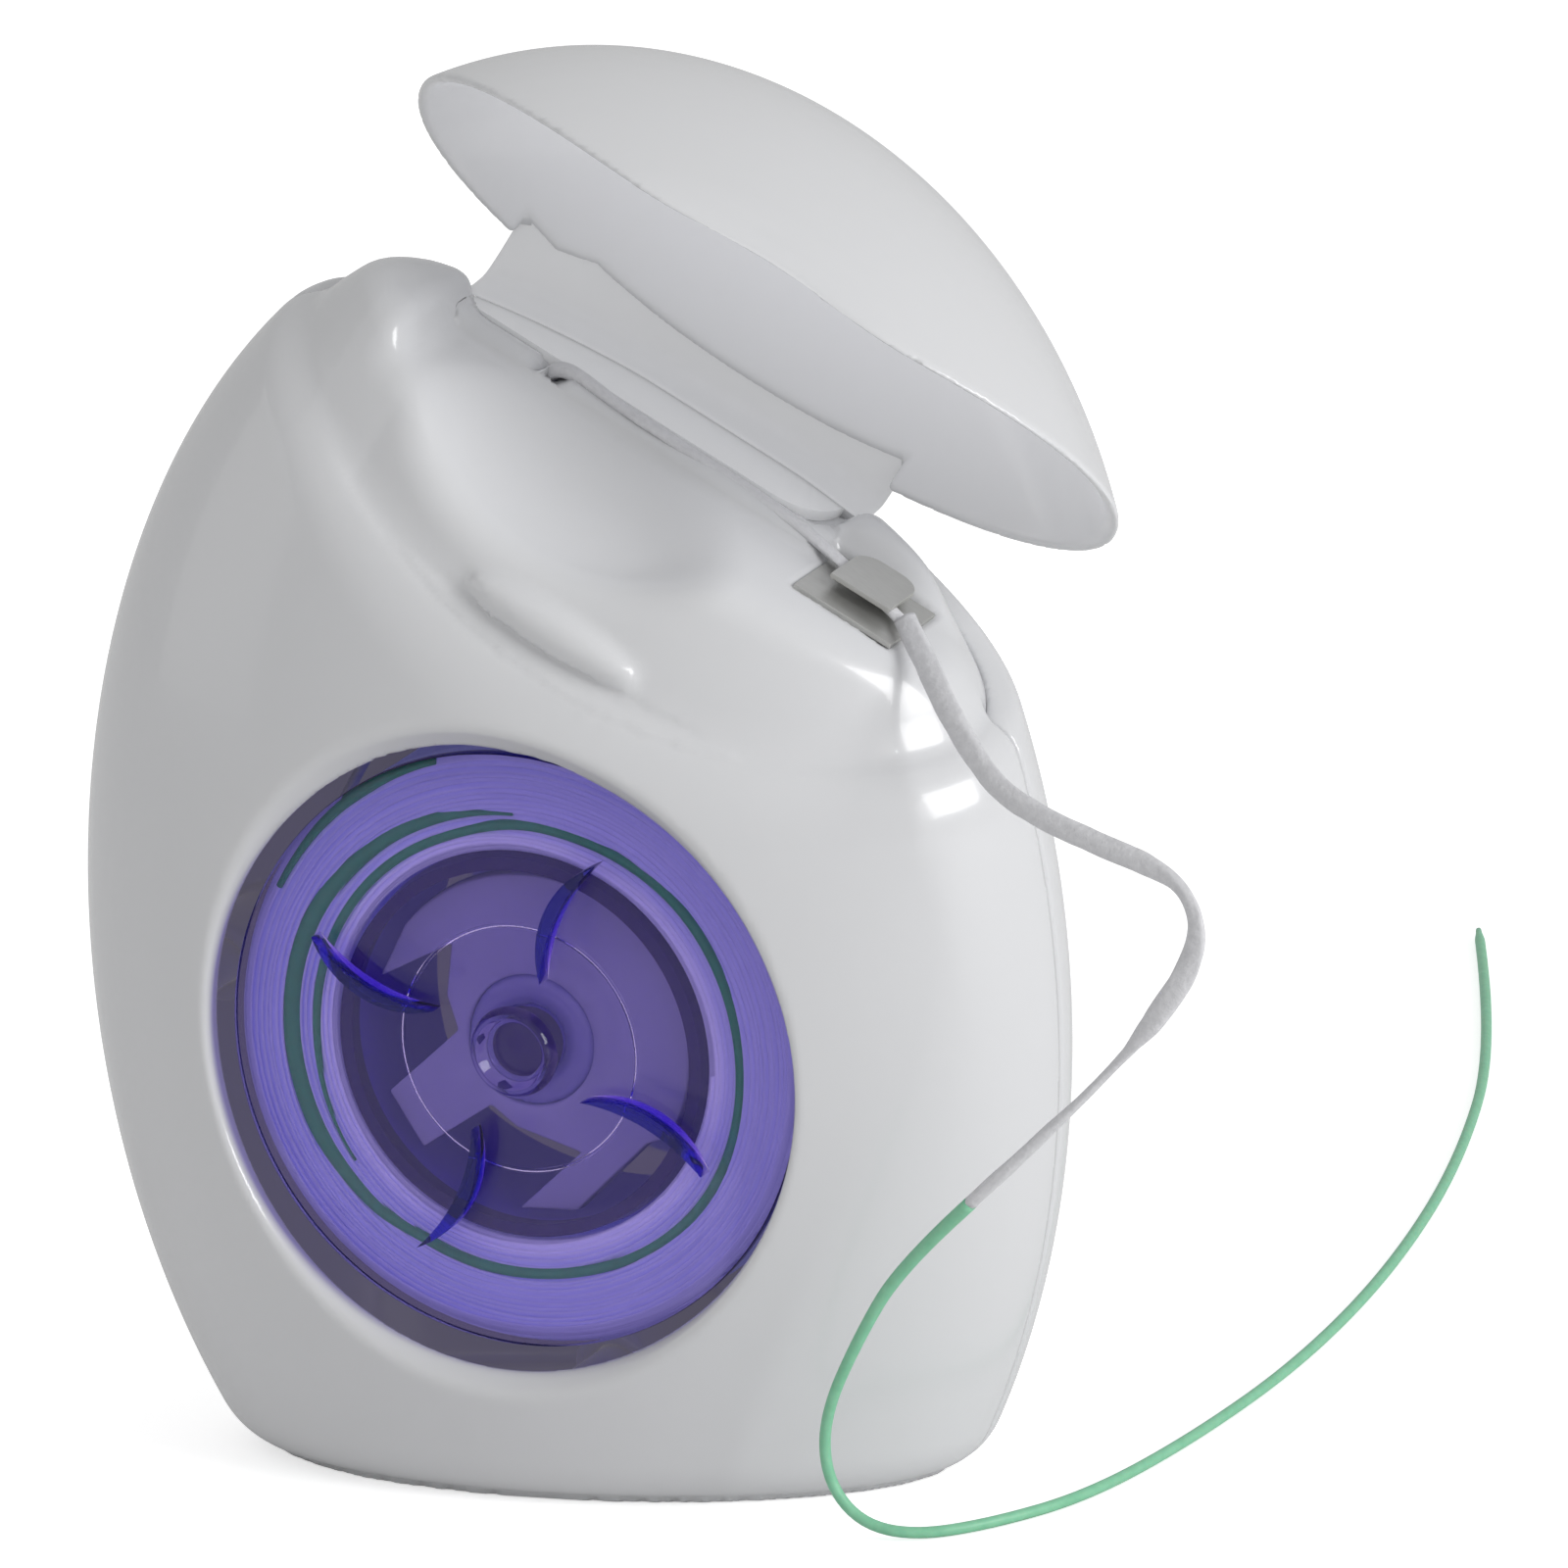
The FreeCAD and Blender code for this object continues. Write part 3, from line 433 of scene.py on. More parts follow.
def frontShellField(p):
    s = deckSettings
    across, back, up = deckFrame(p)
    walls = softMax(caseWalls(p), p[:, 1], s["seam"])
    f = softMin(walls, deckField(p), s["foot"])
    f = softMin(f, beadField(p, 0.0), s["beadFoot"])
    f = softMax(f, -windowField(p), windowSettings["round"])
    a, b, r = s["guide"]
    guide = np.maximum(np.hypot(across - a, back - b) - r, -up - s["guideReach"])
    f = softMax(f, -guide, s["edge"])
    a, b, long, wide, deep = s["cutter"]
    play = s["cutterPlay"]
    pocket = np.maximum(np.maximum(abs(across - a) - long / 2 - play, abs(back - b) - wide / 2 - play),
                        s["up"] - deep - up)
    return softMax(f, -pocket, s["cutterEdge"])


def rearShellField(p):
    s, h = deckSettings, hingeSettings
    across, back, up = deckFrame(p)
    f = softMax(caseWalls(p), -p[:, 1], s["seam"])
    floor = s["up"]
    lean = radians(h["slope"])
    slopeCut = np.minimum(floor - up, (floor - (back - h["back"]) * tan(lean) - up) * cos(lean))
    sides = np.maximum(h["left"] - across, across - h["right"])
    relief = np.maximum(np.maximum(sides, h["front"] - back), slopeCut)
    f = softMax(f, -relief, s["seatEdge"])
    sides = np.maximum(h["seatLeft"] - across, across - h["right"])
    seat = np.maximum(np.maximum(sides, h["front"] - back), np.maximum(back - h["back"], floor - up))
    return softMax(f, -seat, s["edge"])


def toClosed(p):
    h = hingeSettings
    centre = np.array((0, h["back"], partingSettings["height"])) + h["up"] * upFromDeck
    turn = np.array(Matrix.Rotation(radians(h["open"]), 3, Vector(alongHinge)))
    return (p - centre) @ turn.T + centre


def rearCut(across):
    # how high the lid's rear wall is cut out over the tongue and the bending strip
    s, h = lidSettings, hingeSettings
    share = np.clip((across - h["left"] + 1) / 2, 0, 1)
    return s["overTongue"] + (h["up"] + h["web"] + 2 * h["play"] - s["overTongue"]) * share


def lidField(p):
    q = toClosed(p)
    s, h = lidSettings, hingeSettings
    across, back, up = deckFrame(q)
    f = softMax(egg(q, 0.0), -partingField(q, partingSettings["gap"]), s["rimRound"])
    flat = h["back"] + h["play"]
    f = softMax(f, back - flat, s["flatRound"])
    thin = np.clip(partingField(q) / s["rimReach"], 0, 1)
    wall = s["rimWall"] + (s["wall"] - s["rimWall"]) * thin
    cavity = np.maximum(egg(q, wall), back - flat + wall)
    f = softMax(f, -cavity, s["innerRound"])
    f = softMax(f, -beadField(q, deckSettings["beadPlay"]), s["beadRound"])
    room = np.maximum(np.maximum(h["roomLeft"] - across, across - h["right"] - s["play"]),
                      np.maximum(up - rearCut(across), -back))
    f = softMax(f, -room, s["roomRound"])
    notch = np.maximum(abs(across - s["notchAcross"]) - s["notchWidth"] / 2,
                       back - rimBack(s["notchAcross"]) - s["notchDepth"])
    return softMax(f, -np.maximum(notch, up), s["notchRound"])


def rimBack(across):
    # where the lid's edge meets the egg's front at a place along the hinge
    slope, r = radians(partingSettings["slope"]), partingSettings["arc"]
    back = -6.0
    for _ in range(40):
        angle = asin(min((r * sin(slope) - back) / r, partingSettings["steepest"]))
        up = r * cos(angle) - r * cos(slope) - partingSettings["drop"]
        back = -rearOfEgg(across, up)
    return back


# Moulded shells: the CAD solids, remeshed and drawn onto their smooth fields
shellSettings = {
    "voxel": 0.00028,  # in metres, the rest in mm
    "reach": 1.5, "rounds": 3, "ease": 0.5, "deepest": 3.0,
    "probe": 0.02, "steps": 4, "longestStep": 0.6, "leastSlope": 0.2,
}


def mergedCopy(node):
    bm = bmesh.new()
    bm.from_mesh(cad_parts[node].data)
    bmesh.ops.remove_doubles(bm, verts=bm.verts, dist=2e-6)
    mesh = bpy.data.meshes.new(node + "Copy")
    bm.to_mesh(mesh)
    bm.free()
    mesh.materials.clear()
    return mesh


def remeshed(mesh, voxel):
    holder = bpy.data.objects.new("remeshHolder", mesh)
    scene.collection.objects.link(holder)
    change = holder.modifiers.new("remesh", "REMESH")
    change.mode = "VOXEL"
    change.voxel_size = voxel
    dense = bpy.data.meshes.new_from_object(holder.evaluated_get(bpy.context.evaluated_depsgraph_get()))
    bpy.data.objects.remove(holder)
    bpy.data.meshes.remove(mesh)
    return dense


def placesOf(mesh):
    places = np.zeros(len(mesh.vertices) * 3)
    mesh.vertices.foreach_get("co", places)
    return places.reshape(-1, 3) * 1000


def setPlaces(mesh, places):
    mesh.vertices.foreach_set("co", (places / 1000).ravel())
    mesh.update()


def relaxed(places, edges, share):
    total = np.zeros_like(places)
    count = np.zeros(len(places))
    for a, b in ((0, 1), (1, 0)):
        np.add.at(total, edges[:, a], places[edges[:, b]])
        np.add.at(count, edges[:, a], 1)
    return places + (total / np.maximum(count, 1)[:, None] - places) * share


def drawnOnto(places, field, s):
    # points moved down the field's slope onto its zero surface, those too far off left alone
    start = places.copy()
    h = s["probe"]
    for _ in range(s["steps"]):
        f = field(places)
        g = np.stack([(field(places + d) - field(places - d)) / (2 * h)
                      for d in np.eye(3) * h], axis=1)
        step = (f / np.maximum((g ** 2).sum(axis=1), s["leastSlope"]))[:, None] * g
        size = np.linalg.norm(step, axis=1, keepdims=True)
        places = places - step * np.minimum(1, s["longestStep"] / np.maximum(size, 1e-9))
    far = np.linalg.norm(places - start, axis=1) > s["reach"]
    places[far] = start[far]
    return places


def withHeel(mesh):
    # small cubes along the egg's rear surface, which the remesh joins to the lid
    s, h = lidSettings, hingeSettings
    centre = Vector((0, h["back"], partingSettings["height"])) + Vector(upFromDeck) * h["up"]
    turn = Matrix.Rotation(-radians(h["open"]), 3, Vector(alongHinge))
    bm = bmesh.new()
    bm.from_mesh(mesh)
    left, right, low, high = s["heel"]
    for i in range(int((right - left) / s["heelStep"]) + 1):
        for k in range(int((high - low) / s["heelStep"]) + 1):
            across, up = left + i * s["heelStep"], low + k * s["heelStep"]
            place = across * alongHinge + up * upFromDeck
            place[1] = min(rearOfEgg(across, up), h["back"]) - s["heelSize"] / 2
            place[2] += partingSettings["height"]
            opened = turn @ (Vector(place) - centre) + centre
            bmesh.ops.create_cube(bm, size=s["heelSize"] * mm, matrix=Matrix.Translation(opened * mm))
    bm.to_mesh(mesh)
    bm.free()
    return mesh


def mouldedShell(name, node, body, field, seen, added=lambda mesh: mesh):
    s = shellSettings
    mesh = remeshed(added(mergedCopy(node)), s["voxel"])
    places = placesOf(mesh)
    edges = np.zeros(len(mesh.edges) * 2, int)
    mesh.edges.foreach_get("vertices", edges)
    edges = edges.reshape(-1, 2)
    near = seen(places)
    for _ in range(s["rounds"]):
        eased = relaxed(places, edges, s["ease"])
        drawn = drawnOnto(eased, field, s)
        places = np.where(near[:, None], drawn, eased)
    setPlaces(mesh, places)
    # how deep each point lies under the outer form, for the painted inner shade and glow of the white
    # plastic
    depth = mesh.attributes.new("depth", "FLOAT", "POINT")
    under = -egg(toClosed(places), 0.0) if body == "lid" else -outerForm(places)
    depth.data.foreach_set("value", np.clip(under, 0, s["deepest"]))
    mesh.polygons.foreach_set("use_smooth", [True] * len(mesh.polygons))
    print(name, "faces", len(mesh.polygons))
    return linkMesh(name, mesh, body, node)


# which points can be seen from outside and are drawn onto the fields
seenSettings = {
    "skin": 0.9, "deckDepth": 2.9, "deckUnder": -6.0,
    "cone": (19.5, -9.0), "tube": (17.0, -5.0),  # radius round the window, and how far back
    "rearSkin": 1.0, "rimDepth": 1.4, "rimWall": 2.6,
}


def seenOnFront(p):
    s = seenSettings
    up = deckFrame(p)[2]
    out = np.hypot(p[:, 0], p[:, 2] - windowSettings["height"])
    seen = (egg(p, 0.0) > -s["skin"]) | ((partingField(p) > -s["deckDepth"]) & (up > s["deckUnder"]))
    for radius, back in (s["cone"], s["tube"]):
        seen |= (out < radius) & (p[:, 1] < back)
    return seen


def seenOnRear(p):
    s = seenSettings
    inside = egg(p, 0.0)
    return (inside > -s["rearSkin"]) | ((partingField(p) > -s["rimDepth"]) & (inside > -s["rimWall"]))


frontShell = mouldedShell("frontShell", "front_shell", "case", frontShellField, seenOnFront)
rearShell = mouldedShell("rearShell", "rear_shell", "case", rearShellField, seenOnRear)
lidShell = mouldedShell("lidShell", "lid", "lid", lidField, lambda p: p[:, 2] > -1, added=withHeel)
print("shells moulded")


def onDeck(across, back, up):
    place = np.array((0, back, partingSettings["height"])) + across * alongHinge + up * upFromDeck
    return Vector(place) * mm


# Small solids that keep the CAD form, with eased edges
easeSettings = {"brake": 0.12, "tongue": 0.18, "angle": 35}


def ease(piece, width, angle, hardened):
    bevel = piece.modifiers.new("bevel", "BEVEL")
    bevel.width = width * mm
    bevel.segments = 2
    bevel.limit_method = "ANGLE"
    bevel.angle_limit = radians(angle)
    bevel.harden_normals = hardened


def easedCopy(name, node, body, width):
    mesh = mergedCopy(node)
    mesh.polygons.foreach_set("use_smooth", [True] * len(mesh.polygons))
    piece = linkMesh(name, mesh, body, node)
    ease(piece, width, easeSettings["angle"], True)
    return piece


brakePlate = easedCopy("brakePlate", "brake_spider", "case", easeSettings["brake"])
hingeLeaf = easedCopy("hingeTongue", "hinge_leaf", "case", easeSettings["tongue"])


cutterSettings = {
    # boxes in the deck's frame: left, right, front, rear, low and high
    "plate": (16.3, 22.1, -2.95, 2.55, 0.42, 0.70),
    "tab": (17.4, 20.9, -1.5, 2.5, 1.32, 1.60), "tabCorner": 1.2,
    "bend": (17.9, 20.4, 2.1, 2.5, 0.5, 1.4), "ease": 0.05, "easeAngle": 40,
}


def steelBox(bm, corners, rearCorner=0.0):
    # a box in the deck's frame, its two rear corners rounded
    left, right, front, rear, low, high = corners
    made = bmesh.ops.create_cube(bm, size=1.0)["verts"]
    for vert in made:
        vert.co = (left if vert.co.x < 0 else right, front if vert.co.y < 0 else rear,
                   low if vert.co.z < 0 else high)
    if rearCorner:
        close = 1e-4
        edges = {e for v in made for e in v.link_edges if all(abs(w.co.y - rear) < close for w in e.verts)}
        upright = [e for e in edges if abs(e.verts[0].co.x - e.verts[1].co.x) < close]
        bmesh.ops.bevel(bm, geom=upright, offset=rearCorner, segments=8, profile=0.5, affect="EDGES",
                        material=-1)


def cutterSteel(s):
    bm = bmesh.new()
    steelBox(bm, s["plate"])
    steelBox(bm, s["bend"])
    steelBox(bm, s["tab"], s["tabCorner"])
    for vert in bm.verts:
        vert.co = onDeck(*vert.co)
    bmesh.ops.recalc_face_normals(bm, faces=bm.faces)
    piece = linkMesh("cutterSteel", meshFrom(bm, "cutterSteel", False), "case", "cutter")
    ease(piece, s["ease"], s["easeAngle"], False)
    return piece


cutterPlate = cutterSteel(cutterSettings)
print("small pieces made")


# Clear spool wheel: a turned body with four curved fins for the thumb
wheelSettings = {
    "height": 23.0,
    # radius and depth of each corner of the turned outline, from the middle of the front face
    "outline": [
        (0.0, -8.38), (0.22, -8.40), (0.42, -8.32), (0.60, -8.24), (1.40, -8.22), (1.60, -8.36),
        (1.72, -8.70), (1.86, -8.83), (2.04, -8.83), (2.18, -8.70), (2.32, -8.26), (2.50, -8.20),
        (15.12, -8.20), (15.24, -8.14), (15.28, -8.02), (15.28, -7.46), (15.24, -7.34), (15.14, -7.30),
        (6.36, -7.30), (6.31, -7.16), (6.21, -7.16), (6.16, -7.30), (0.0, -7.30),
    ],
    "hub": [
        (9.05, -7.26), (9.70, -7.26), (9.70, 3.66), (15.0, 3.74), (15.08, 3.82), (15.08, 4.52),
        (15.0, 4.60), (9.12, 4.60), (9.05, 4.50), (9.05, -7.26),
    ],
    "pin": [(0.0, -7.24), (1.52, -7.24), (1.60, -7.16), (1.60, 1.12), (1.52, 1.20), (0.0, 1.20)],
    "finInner": 4.4, "finOuter": 11.6, "finBulge": 1.4, "finHollow": 0.7, "finTurn": 61.0,
    "finFront": -9.40, "finRear": -8.24, "finEase": 0.10,
}


def finArc(bm, s, bulge, half, middle):
    r = (half ** 2 + bulge ** 2) / (2 * bulge)
    lean = asin(half / r)
    start = bm.verts.new(Vector((middle - half, s["finRear"], 0)) * mm)
    centre = Vector((middle, s["finRear"], bulge - r)) * mm
    made = bmesh.ops.spin(bm, geom=[start], cent=centre, axis=(0, 1, 0), angle=2 * lean, steps=18)
    return start, made["geom_last"][0]


def turned(name, outline, s):
    bm = bmesh.new()
    verts = [bm.verts.new((r * mm, y * mm, 0)) for r, y in outline]
    edges = [bm.edges.new(pair) for pair in zip(verts, verts[1:])]
    bmesh.ops.spin(bm, geom=verts + edges, cent=(0, 0, 0), axis=(0, 1, 0), angle=2 * pi, steps=180,
                   use_merge=True)
    bmesh.ops.remove_doubles(bm, verts=bm.verts, dist=0.000002)
    bmesh.ops.recalc_face_normals(bm, faces=bm.faces)
    bmesh.ops.translate(bm, vec=(0, 0, s["height"] * mm), verts=bm.verts)
    mesh = meshFrom(bm, name)
    mesh.set_sharp_from_angle(angle=radians(38))
    return linkMesh(name, mesh, "spool", "spool")


def thumbFins(s):
    bm = bmesh.new()
    half = (s["finOuter"] - s["finInner"]) / 2
    middle = (s["finOuter"] + s["finInner"]) / 2
    for number in range(4):
        fin = bmesh.new()
        finArc(fin, s, s["finBulge"], half, middle)
        finArc(fin, s, s["finHollow"], half, middle)
        bmesh.ops.remove_doubles(fin, verts=fin.verts, dist=0.00001)
        face = bmesh.ops.contextual_create(fin, geom=list(fin.edges))["faces"]
        grown = bmesh.ops.extrude_face_region(fin, geom=face)["geom"]
        top = [g for g in grown if isinstance(g, bmesh.types.BMVert)]
        bmesh.ops.translate(fin, vec=(0, (s["finFront"] - s["finRear"]) * mm, 0), verts=top)
        rim = [e for e in fin.edges if all(v in top for v in e.verts)]
        bmesh.ops.bevel(fin, geom=rim, offset=s["finEase"] * mm, segments=2, profile=0.5, affect="EDGES",
                        material=-1, clamp_overlap=True)
        bmesh.ops.recalc_face_normals(fin, faces=fin.faces)
        turn = Matrix.Rotation(-radians(s["finTurn"] + 90 * number), 4, "Y")
        bmesh.ops.transform(fin, matrix=turn, verts=fin.verts)
        held = bpy.data.meshes.new("fin")
        fin.to_mesh(held)
        fin.free()
        bm.from_mesh(held)
        bpy.data.meshes.remove(held)
    bmesh.ops.recalc_face_normals(bm, faces=bm.faces)
    bmesh.ops.translate(bm, vec=(0, 0, s["height"] * mm), verts=bm.verts)
    mesh = meshFrom(bm, "thumbFins")
    mesh.set_sharp_from_angle(angle=radians(38))
    return linkMesh("thumbFins", mesh, "spool", "spool")


spoolWheel = turned("spoolWheel", wheelSettings["outline"], wheelSettings)
spoolHub = turned("spoolHub", wheelSettings["hub"], wheelSettings)
spoolPin = turned("spoolPin", wheelSettings["pin"], wheelSettings)
fins = thumbFins(wheelSettings)


# Bending strip between the tongue and the lid
stripSettings = {
    # back and up on the tongue in the deck's frame, with back counted from the egg's rear surface
    "foot": [(-2.6, 1.27), (-1.4, 1.31), (-0.5, 1.44), (0.0, 1.72)],
    "footUp": 1.27, "over": 0.35, "sunk": 0.3, "mostBack": 8.75,
    "left": -7.1, "right": 16.0, "thickness": 0.16, "steps": 23,
    "start": (8.5, 1.6), "end": (9.2, 2.5),
}


def stripOutline(s, across):
    # from the tongue's top to the lower edge of the lid's rear wall, with the lid open
    h = hingeSettings
    rear = min(rearOfEgg(across, s["footUp"]), s["mostBack"])
    line = [(rear + back, up) for back, up in s["foot"]]
    up = rearCut(across) + s["over"]
    back = min(rearOfEgg(across, up), h["back"]) - s["sunk"] - h["back"]
    up -= h["up"]
    turn = radians(h["open"])
    edge = (h["back"] + back * cos(turn) + up * sin(turn), h["up"] - back * sin(turn) + up * cos(turn))
    last = line[-1]
    for part, bulge in ((0.35, 0.10), (0.7, 0.08), (1.0, 0.0)):
        line.append((last[0] + (edge[0] - last[0]) * part + bulge, last[1] + (edge[1] - last[1]) * part))
    return line


def bendingStrip(s):
    bm = bmesh.new()
    rows = []
    for i in range(s["steps"] + 1):
        across = s["left"] + (s["right"] - s["left"]) * i / s["steps"]
        rows.append([bm.verts.new(onDeck(across, back, up)) for back, up in stripOutline(s, across)])
    for row, following in zip(rows, rows[1:]):
        for k in range(len(row) - 1):
            bm.faces.new((row[k], row[k + 1], following[k + 1], following[k]))
    bmesh.ops.recalc_face_normals(bm, faces=bm.faces)
    bmesh.ops.solidify(bm, geom=bm.faces[:], thickness=s["thickness"] * mm)
    bmesh.ops.recalc_face_normals(bm, faces=bm.faces)
    piece = bpy.data.objects.new("bendingStrip", meshFrom(bm, "bendingStrip"))
    scene.collection.objects.link(piece)
    curve = piece.modifiers.new("smooth", "SUBSURF")
    curve.levels = 2
    curve.render_levels = 2
    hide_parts("hinge_web")
    middle = (s["left"] + s["right"]) / 2
    onDeck(middle, *s["start"])
    onDeck(middle, *s["end"])
    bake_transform(piece)
    return piece


strip = bendingStrip(stripSettings)


# Wound floss on the spool
coilSettings = {
    "inner": 9.95, "outer": 15.1, "front": -7.04, "rear": 3.4, "height": 23.0,
    "turnsOnFace": 17, "turnHeight": 0.22, "turnWidth": 0.62, "turnsOutside": 15,
    "waver": 0.14, "lift": 0.05, "bulge": 0.06, "step": 0.0011,
}


def coilPath(s):
    line = []
    across = s["rear"] - s["front"] - 1.2
    steps = 64
    outside = s["turnsOutside"] * steps
    for i in range(outside):
        turn = 2 * pi * i / steps
        wave = noise.noise(Vector((cos(turn), sin(turn), i * 0.02)))
        r = s["outer"] - s["turnHeight"] / 2 + s["bulge"] * wave
        y = s["rear"] - 0.6 - across * i / outside
        line.append(Vector((r * cos(turn), y, s["height"] + r * sin(turn))) * mm)
    onFace = s["turnsOnFace"] * steps
    for i in range(onFace):
        turn = 2 * pi * i / steps
        share = i / onFace
        wave = noise.noise(Vector((1.3 * cos(turn), 1.3 * sin(turn), share * 9)))
        room = s["outer"] - s["inner"] - s["turnWidth"]
        r = s["outer"] - s["turnWidth"] / 2 - room * share + s["waver"] * wave
        lift = noise.noise(Vector((2 * cos(turn), 2 * sin(turn), 4 + share * 11)))
        y = s["front"] + s["turnHeight"] / 2 + s["lift"] + s["lift"] * lift
        line.append(Vector((r * cos(turn), y, s["height"] + r * sin(turn))) * mm)
    return line


def flossCoil(s):
    section = {
        "points": 8, "turn": lambda x: 0.0,
        "width": lambda x: s["turnWidth"] * mm,
        "thickness": lambda x: s["turnHeight"] * 0.8 * mm,
    }
    mesh = sweepSection("flossTurns", coilPath(s), s["step"], section, (0, 1, 0))[0]
    turns = linkMesh("flossTurns", mesh, "spool", "floss_winding")
    # the wound body under the turns
    bm = bmesh.new()
    half = s["turnHeight"] / 2
    outline = [(s["inner"], s["front"] + half), (s["outer"] - half, s["front"] + half),
               (s["outer"] - half, s["rear"] - half), (s["inner"], s["rear"] - half)]
    verts = [bm.verts.new((r * mm, y * mm, s["height"] * mm)) for r, y in outline]
    edges = [bm.edges.new((verts[i], verts[(i + 1) % 4])) for i in range(4)]
    bmesh.ops.spin(bm, geom=verts + edges, cent=(0, 0, s["height"] * mm), axis=(0, 1, 0),
                   angle=2 * pi, steps=96, use_merge=True)
    bmesh.ops.recalc_face_normals(bm, faces=bm.faces)
    body = linkMesh("flossBody", meshFrom(bm, "flossBody"), "spool", "floss_core")
    return turns, body


greenTurnSettings = {
    # turn in degrees and radius along the visible turns, and along the tail at the coil's edge
    "stops": [(88, 11.9), (125, 12.15), (158, 12.4), (200, 12.35), (223, 12.15), (242, 11.75), (275, 11.62),
              (320, 11.85), (365, 11.7), (395, 11.75), (440, 11.4), (470, 11.05), (530, 11.0),
              (575, 11.35)],
    "width": [(0, 0.15), (0.06, 0.7), (0.14, 0.95), (0.24, 0.95), (0.32, 0.62), (0.5, 0.5),
              (0.9, 0.55), (1, 0.15)],
    "tail": [(104, 14.8), (125, 14.75), (150, 14.6)],
    "tailWidth": [(0, 0.3), (0.4, 0.55), (1, 0.35)],
    "front": -7.27, "diameter": 0.5, "height": 23.0, "step": 0.0006,
}


def greenTurns(s):
    bm = bmesh.new()
    for stops, widths in ((s["stops"], s["width"]), (s["tail"], s["tailWidth"])):
        line = []
        for i in range(stops[0][0], stops[-1][0] + 1, 3):
            r = between(stops, i)
            a = radians(i)
            line.append(Vector((r * cos(a), s["front"] + s["diameter"] / 2, s["height"] + r * sin(a))) * mm)
        section = {"points": 10, "turn": lambda x: 0.0, "width": lambda x: between(widths, x) * mm,
                   "thickness": lambda x: s["diameter"] * mm}
        mesh = sweepSection("greenTurns", line, s["step"], section, (1, 0, 0))[0]
        bm.from_mesh(mesh)
        bpy.data.meshes.remove(mesh)
    return linkMesh("greenTurns", meshFrom(bm, "greenTurns"), "spool", "threader_winding")


coilTurns, coilBody = flossCoil(coilSettings)
greenTurn = greenTurns(greenTurnSettings)
print("floss wound")


# Floss from the guide hole to the cutter
feedSettings = {
    "case": [(-13.6, 1.4, 31.4), (-9.4, 2.0, 38.4), (-4.9, 2.5, 46.0)],
    "deck": [(-1.2, 2.6, -3.2), (-1.15, 2.6, -0.9), (-1.1, 2.6, 0.6), (-0.2, 2.6, 1.35), (2.4, 2.6, 1.12),
             (7.0, 2.5, 1.06), (12.0, 2.4, 1.1), (16.4, 1.4, 1.12), (21.6, -1.0, 1.14)],
    "width": [(0.0, 0.8), (0.45, 0.8), (0.55, 1.0), (0.8, 1.1), (0.92, 0.9), (1.0, 0.9)],
    "thickness": [(0.0, 0.5), (0.48, 0.5), (0.54, 0.8), (0.62, 0.45), (1.0, 0.4)],
    "step": 0.00025,
}


def flossFeed(s):
    points = [Vector(p) * mm for p in s["case"]]
    points += [onDeck(*place) for place in s["deck"]]
    section = {
        "points": 16, "ridge": 0.05, "ridges": 5, "turn": lambda x: 0.0,
        "width": lambda x: between(s["width"], x) * mm,
        "thickness": lambda x: between(s["thickness"], x) * mm,
    }
    mesh = sweepSection("flossFeed", routeLine(points), s["step"], section, (0, 1, 0))[0]
    return linkMesh("flossFeed", mesh, "case", "floss_feed")


feed = flossFeed(feedSettings)


# Materials
class Socket:
    # one shader socket with the usual operators, each of which adds a Math node
    def __init__(self, tree, socket):
        self.tree, self.socket = tree, socket

    def join(self, operation, other, swapped=False):
        pair = (other, self) if swapped else (self, other)
        return self.tree.add("ShaderNodeMath", {"operation": operation}, *pair)

    def __add__(self, other):
        return self.join("ADD", other)

    def __radd__(self, other):
        return self.join("ADD", other)

    def __sub__(self, other):
        return self.join("SUBTRACT", other)

    def __rsub__(self, other):
        return self.join("SUBTRACT", other, True)

    def __mul__(self, other):
        return self.join("MULTIPLY", other)

    def __rmul__(self, other):
        return self.join("MULTIPLY", other)


class Finish:
    def __init__(self, name):
        self.material = bpy.data.materials.new(name)
        self.material.use_nodes = True
        self.nodes = self.material.node_tree.nodes
        self.links = self.material.node_tree.links
        self.shader = self.nodes["Principled BSDF"]
        self.output = self.nodes["Material Output"]

    def plug(self, socket, value):
        if isinstance(value, Socket):
            self.links.new(value.socket, socket)
        elif value is not None:
            if isinstance(value, (tuple, list)) and len(value) == 3 and socket.type == "RGBA":
                value = (*value, 1)
            socket.default_value = value

    def add(self, kind, settings=None, *values, out=0, **named):
        node = self.nodes.new(kind)
        for key, value in (settings or {}).items():
            setattr(node, key, value)
        for socket, value in zip(node.inputs, values):
            self.plug(socket, value)
        for key, value in named.items():
            self.plug(node.inputs[key.replace("_", " ")], value)
        return Socket(self, node.outputs[out])

    def place(self):
        return self.add("ShaderNodeTexCoord", out=3)

    def axis(self, number):
        return self.add("ShaderNodeSeparateXYZ", None, self.place(), out=number)

    def below(self, value, most):
        return self.add("ShaderNodeMath", {"operation": "LESS_THAN"}, value, most)

    def noise(self, scale, detail=3.0, rough=0.5, vector=None):
        return self.add("ShaderNodeTexNoise", None, Vector=vector or self.place(), Scale=scale,
                        Detail=detail, Roughness=rough)

    def blend(self, factor, low, high):
        node = self.nodes.new("ShaderNodeMix")
        node.data_type = "RGBA"
        self.plug(node.inputs[0], factor)
        self.plug(node.inputs[6], low)
        self.plug(node.inputs[7], high)
        return Socket(self, node.outputs[2])

    def set(self, **values):
        for key, value in values.items():
            self.plug(self.shader.inputs[key.replace("_", " ")], value)

    def bump(self, height, distance):
        return self.add("ShaderNodeBump", None, Strength=1.0, Distance=distance, Height=height)


def paint(piece, finish):
    piece.data.materials.clear()
    piece.data.materials.append(finish.material)


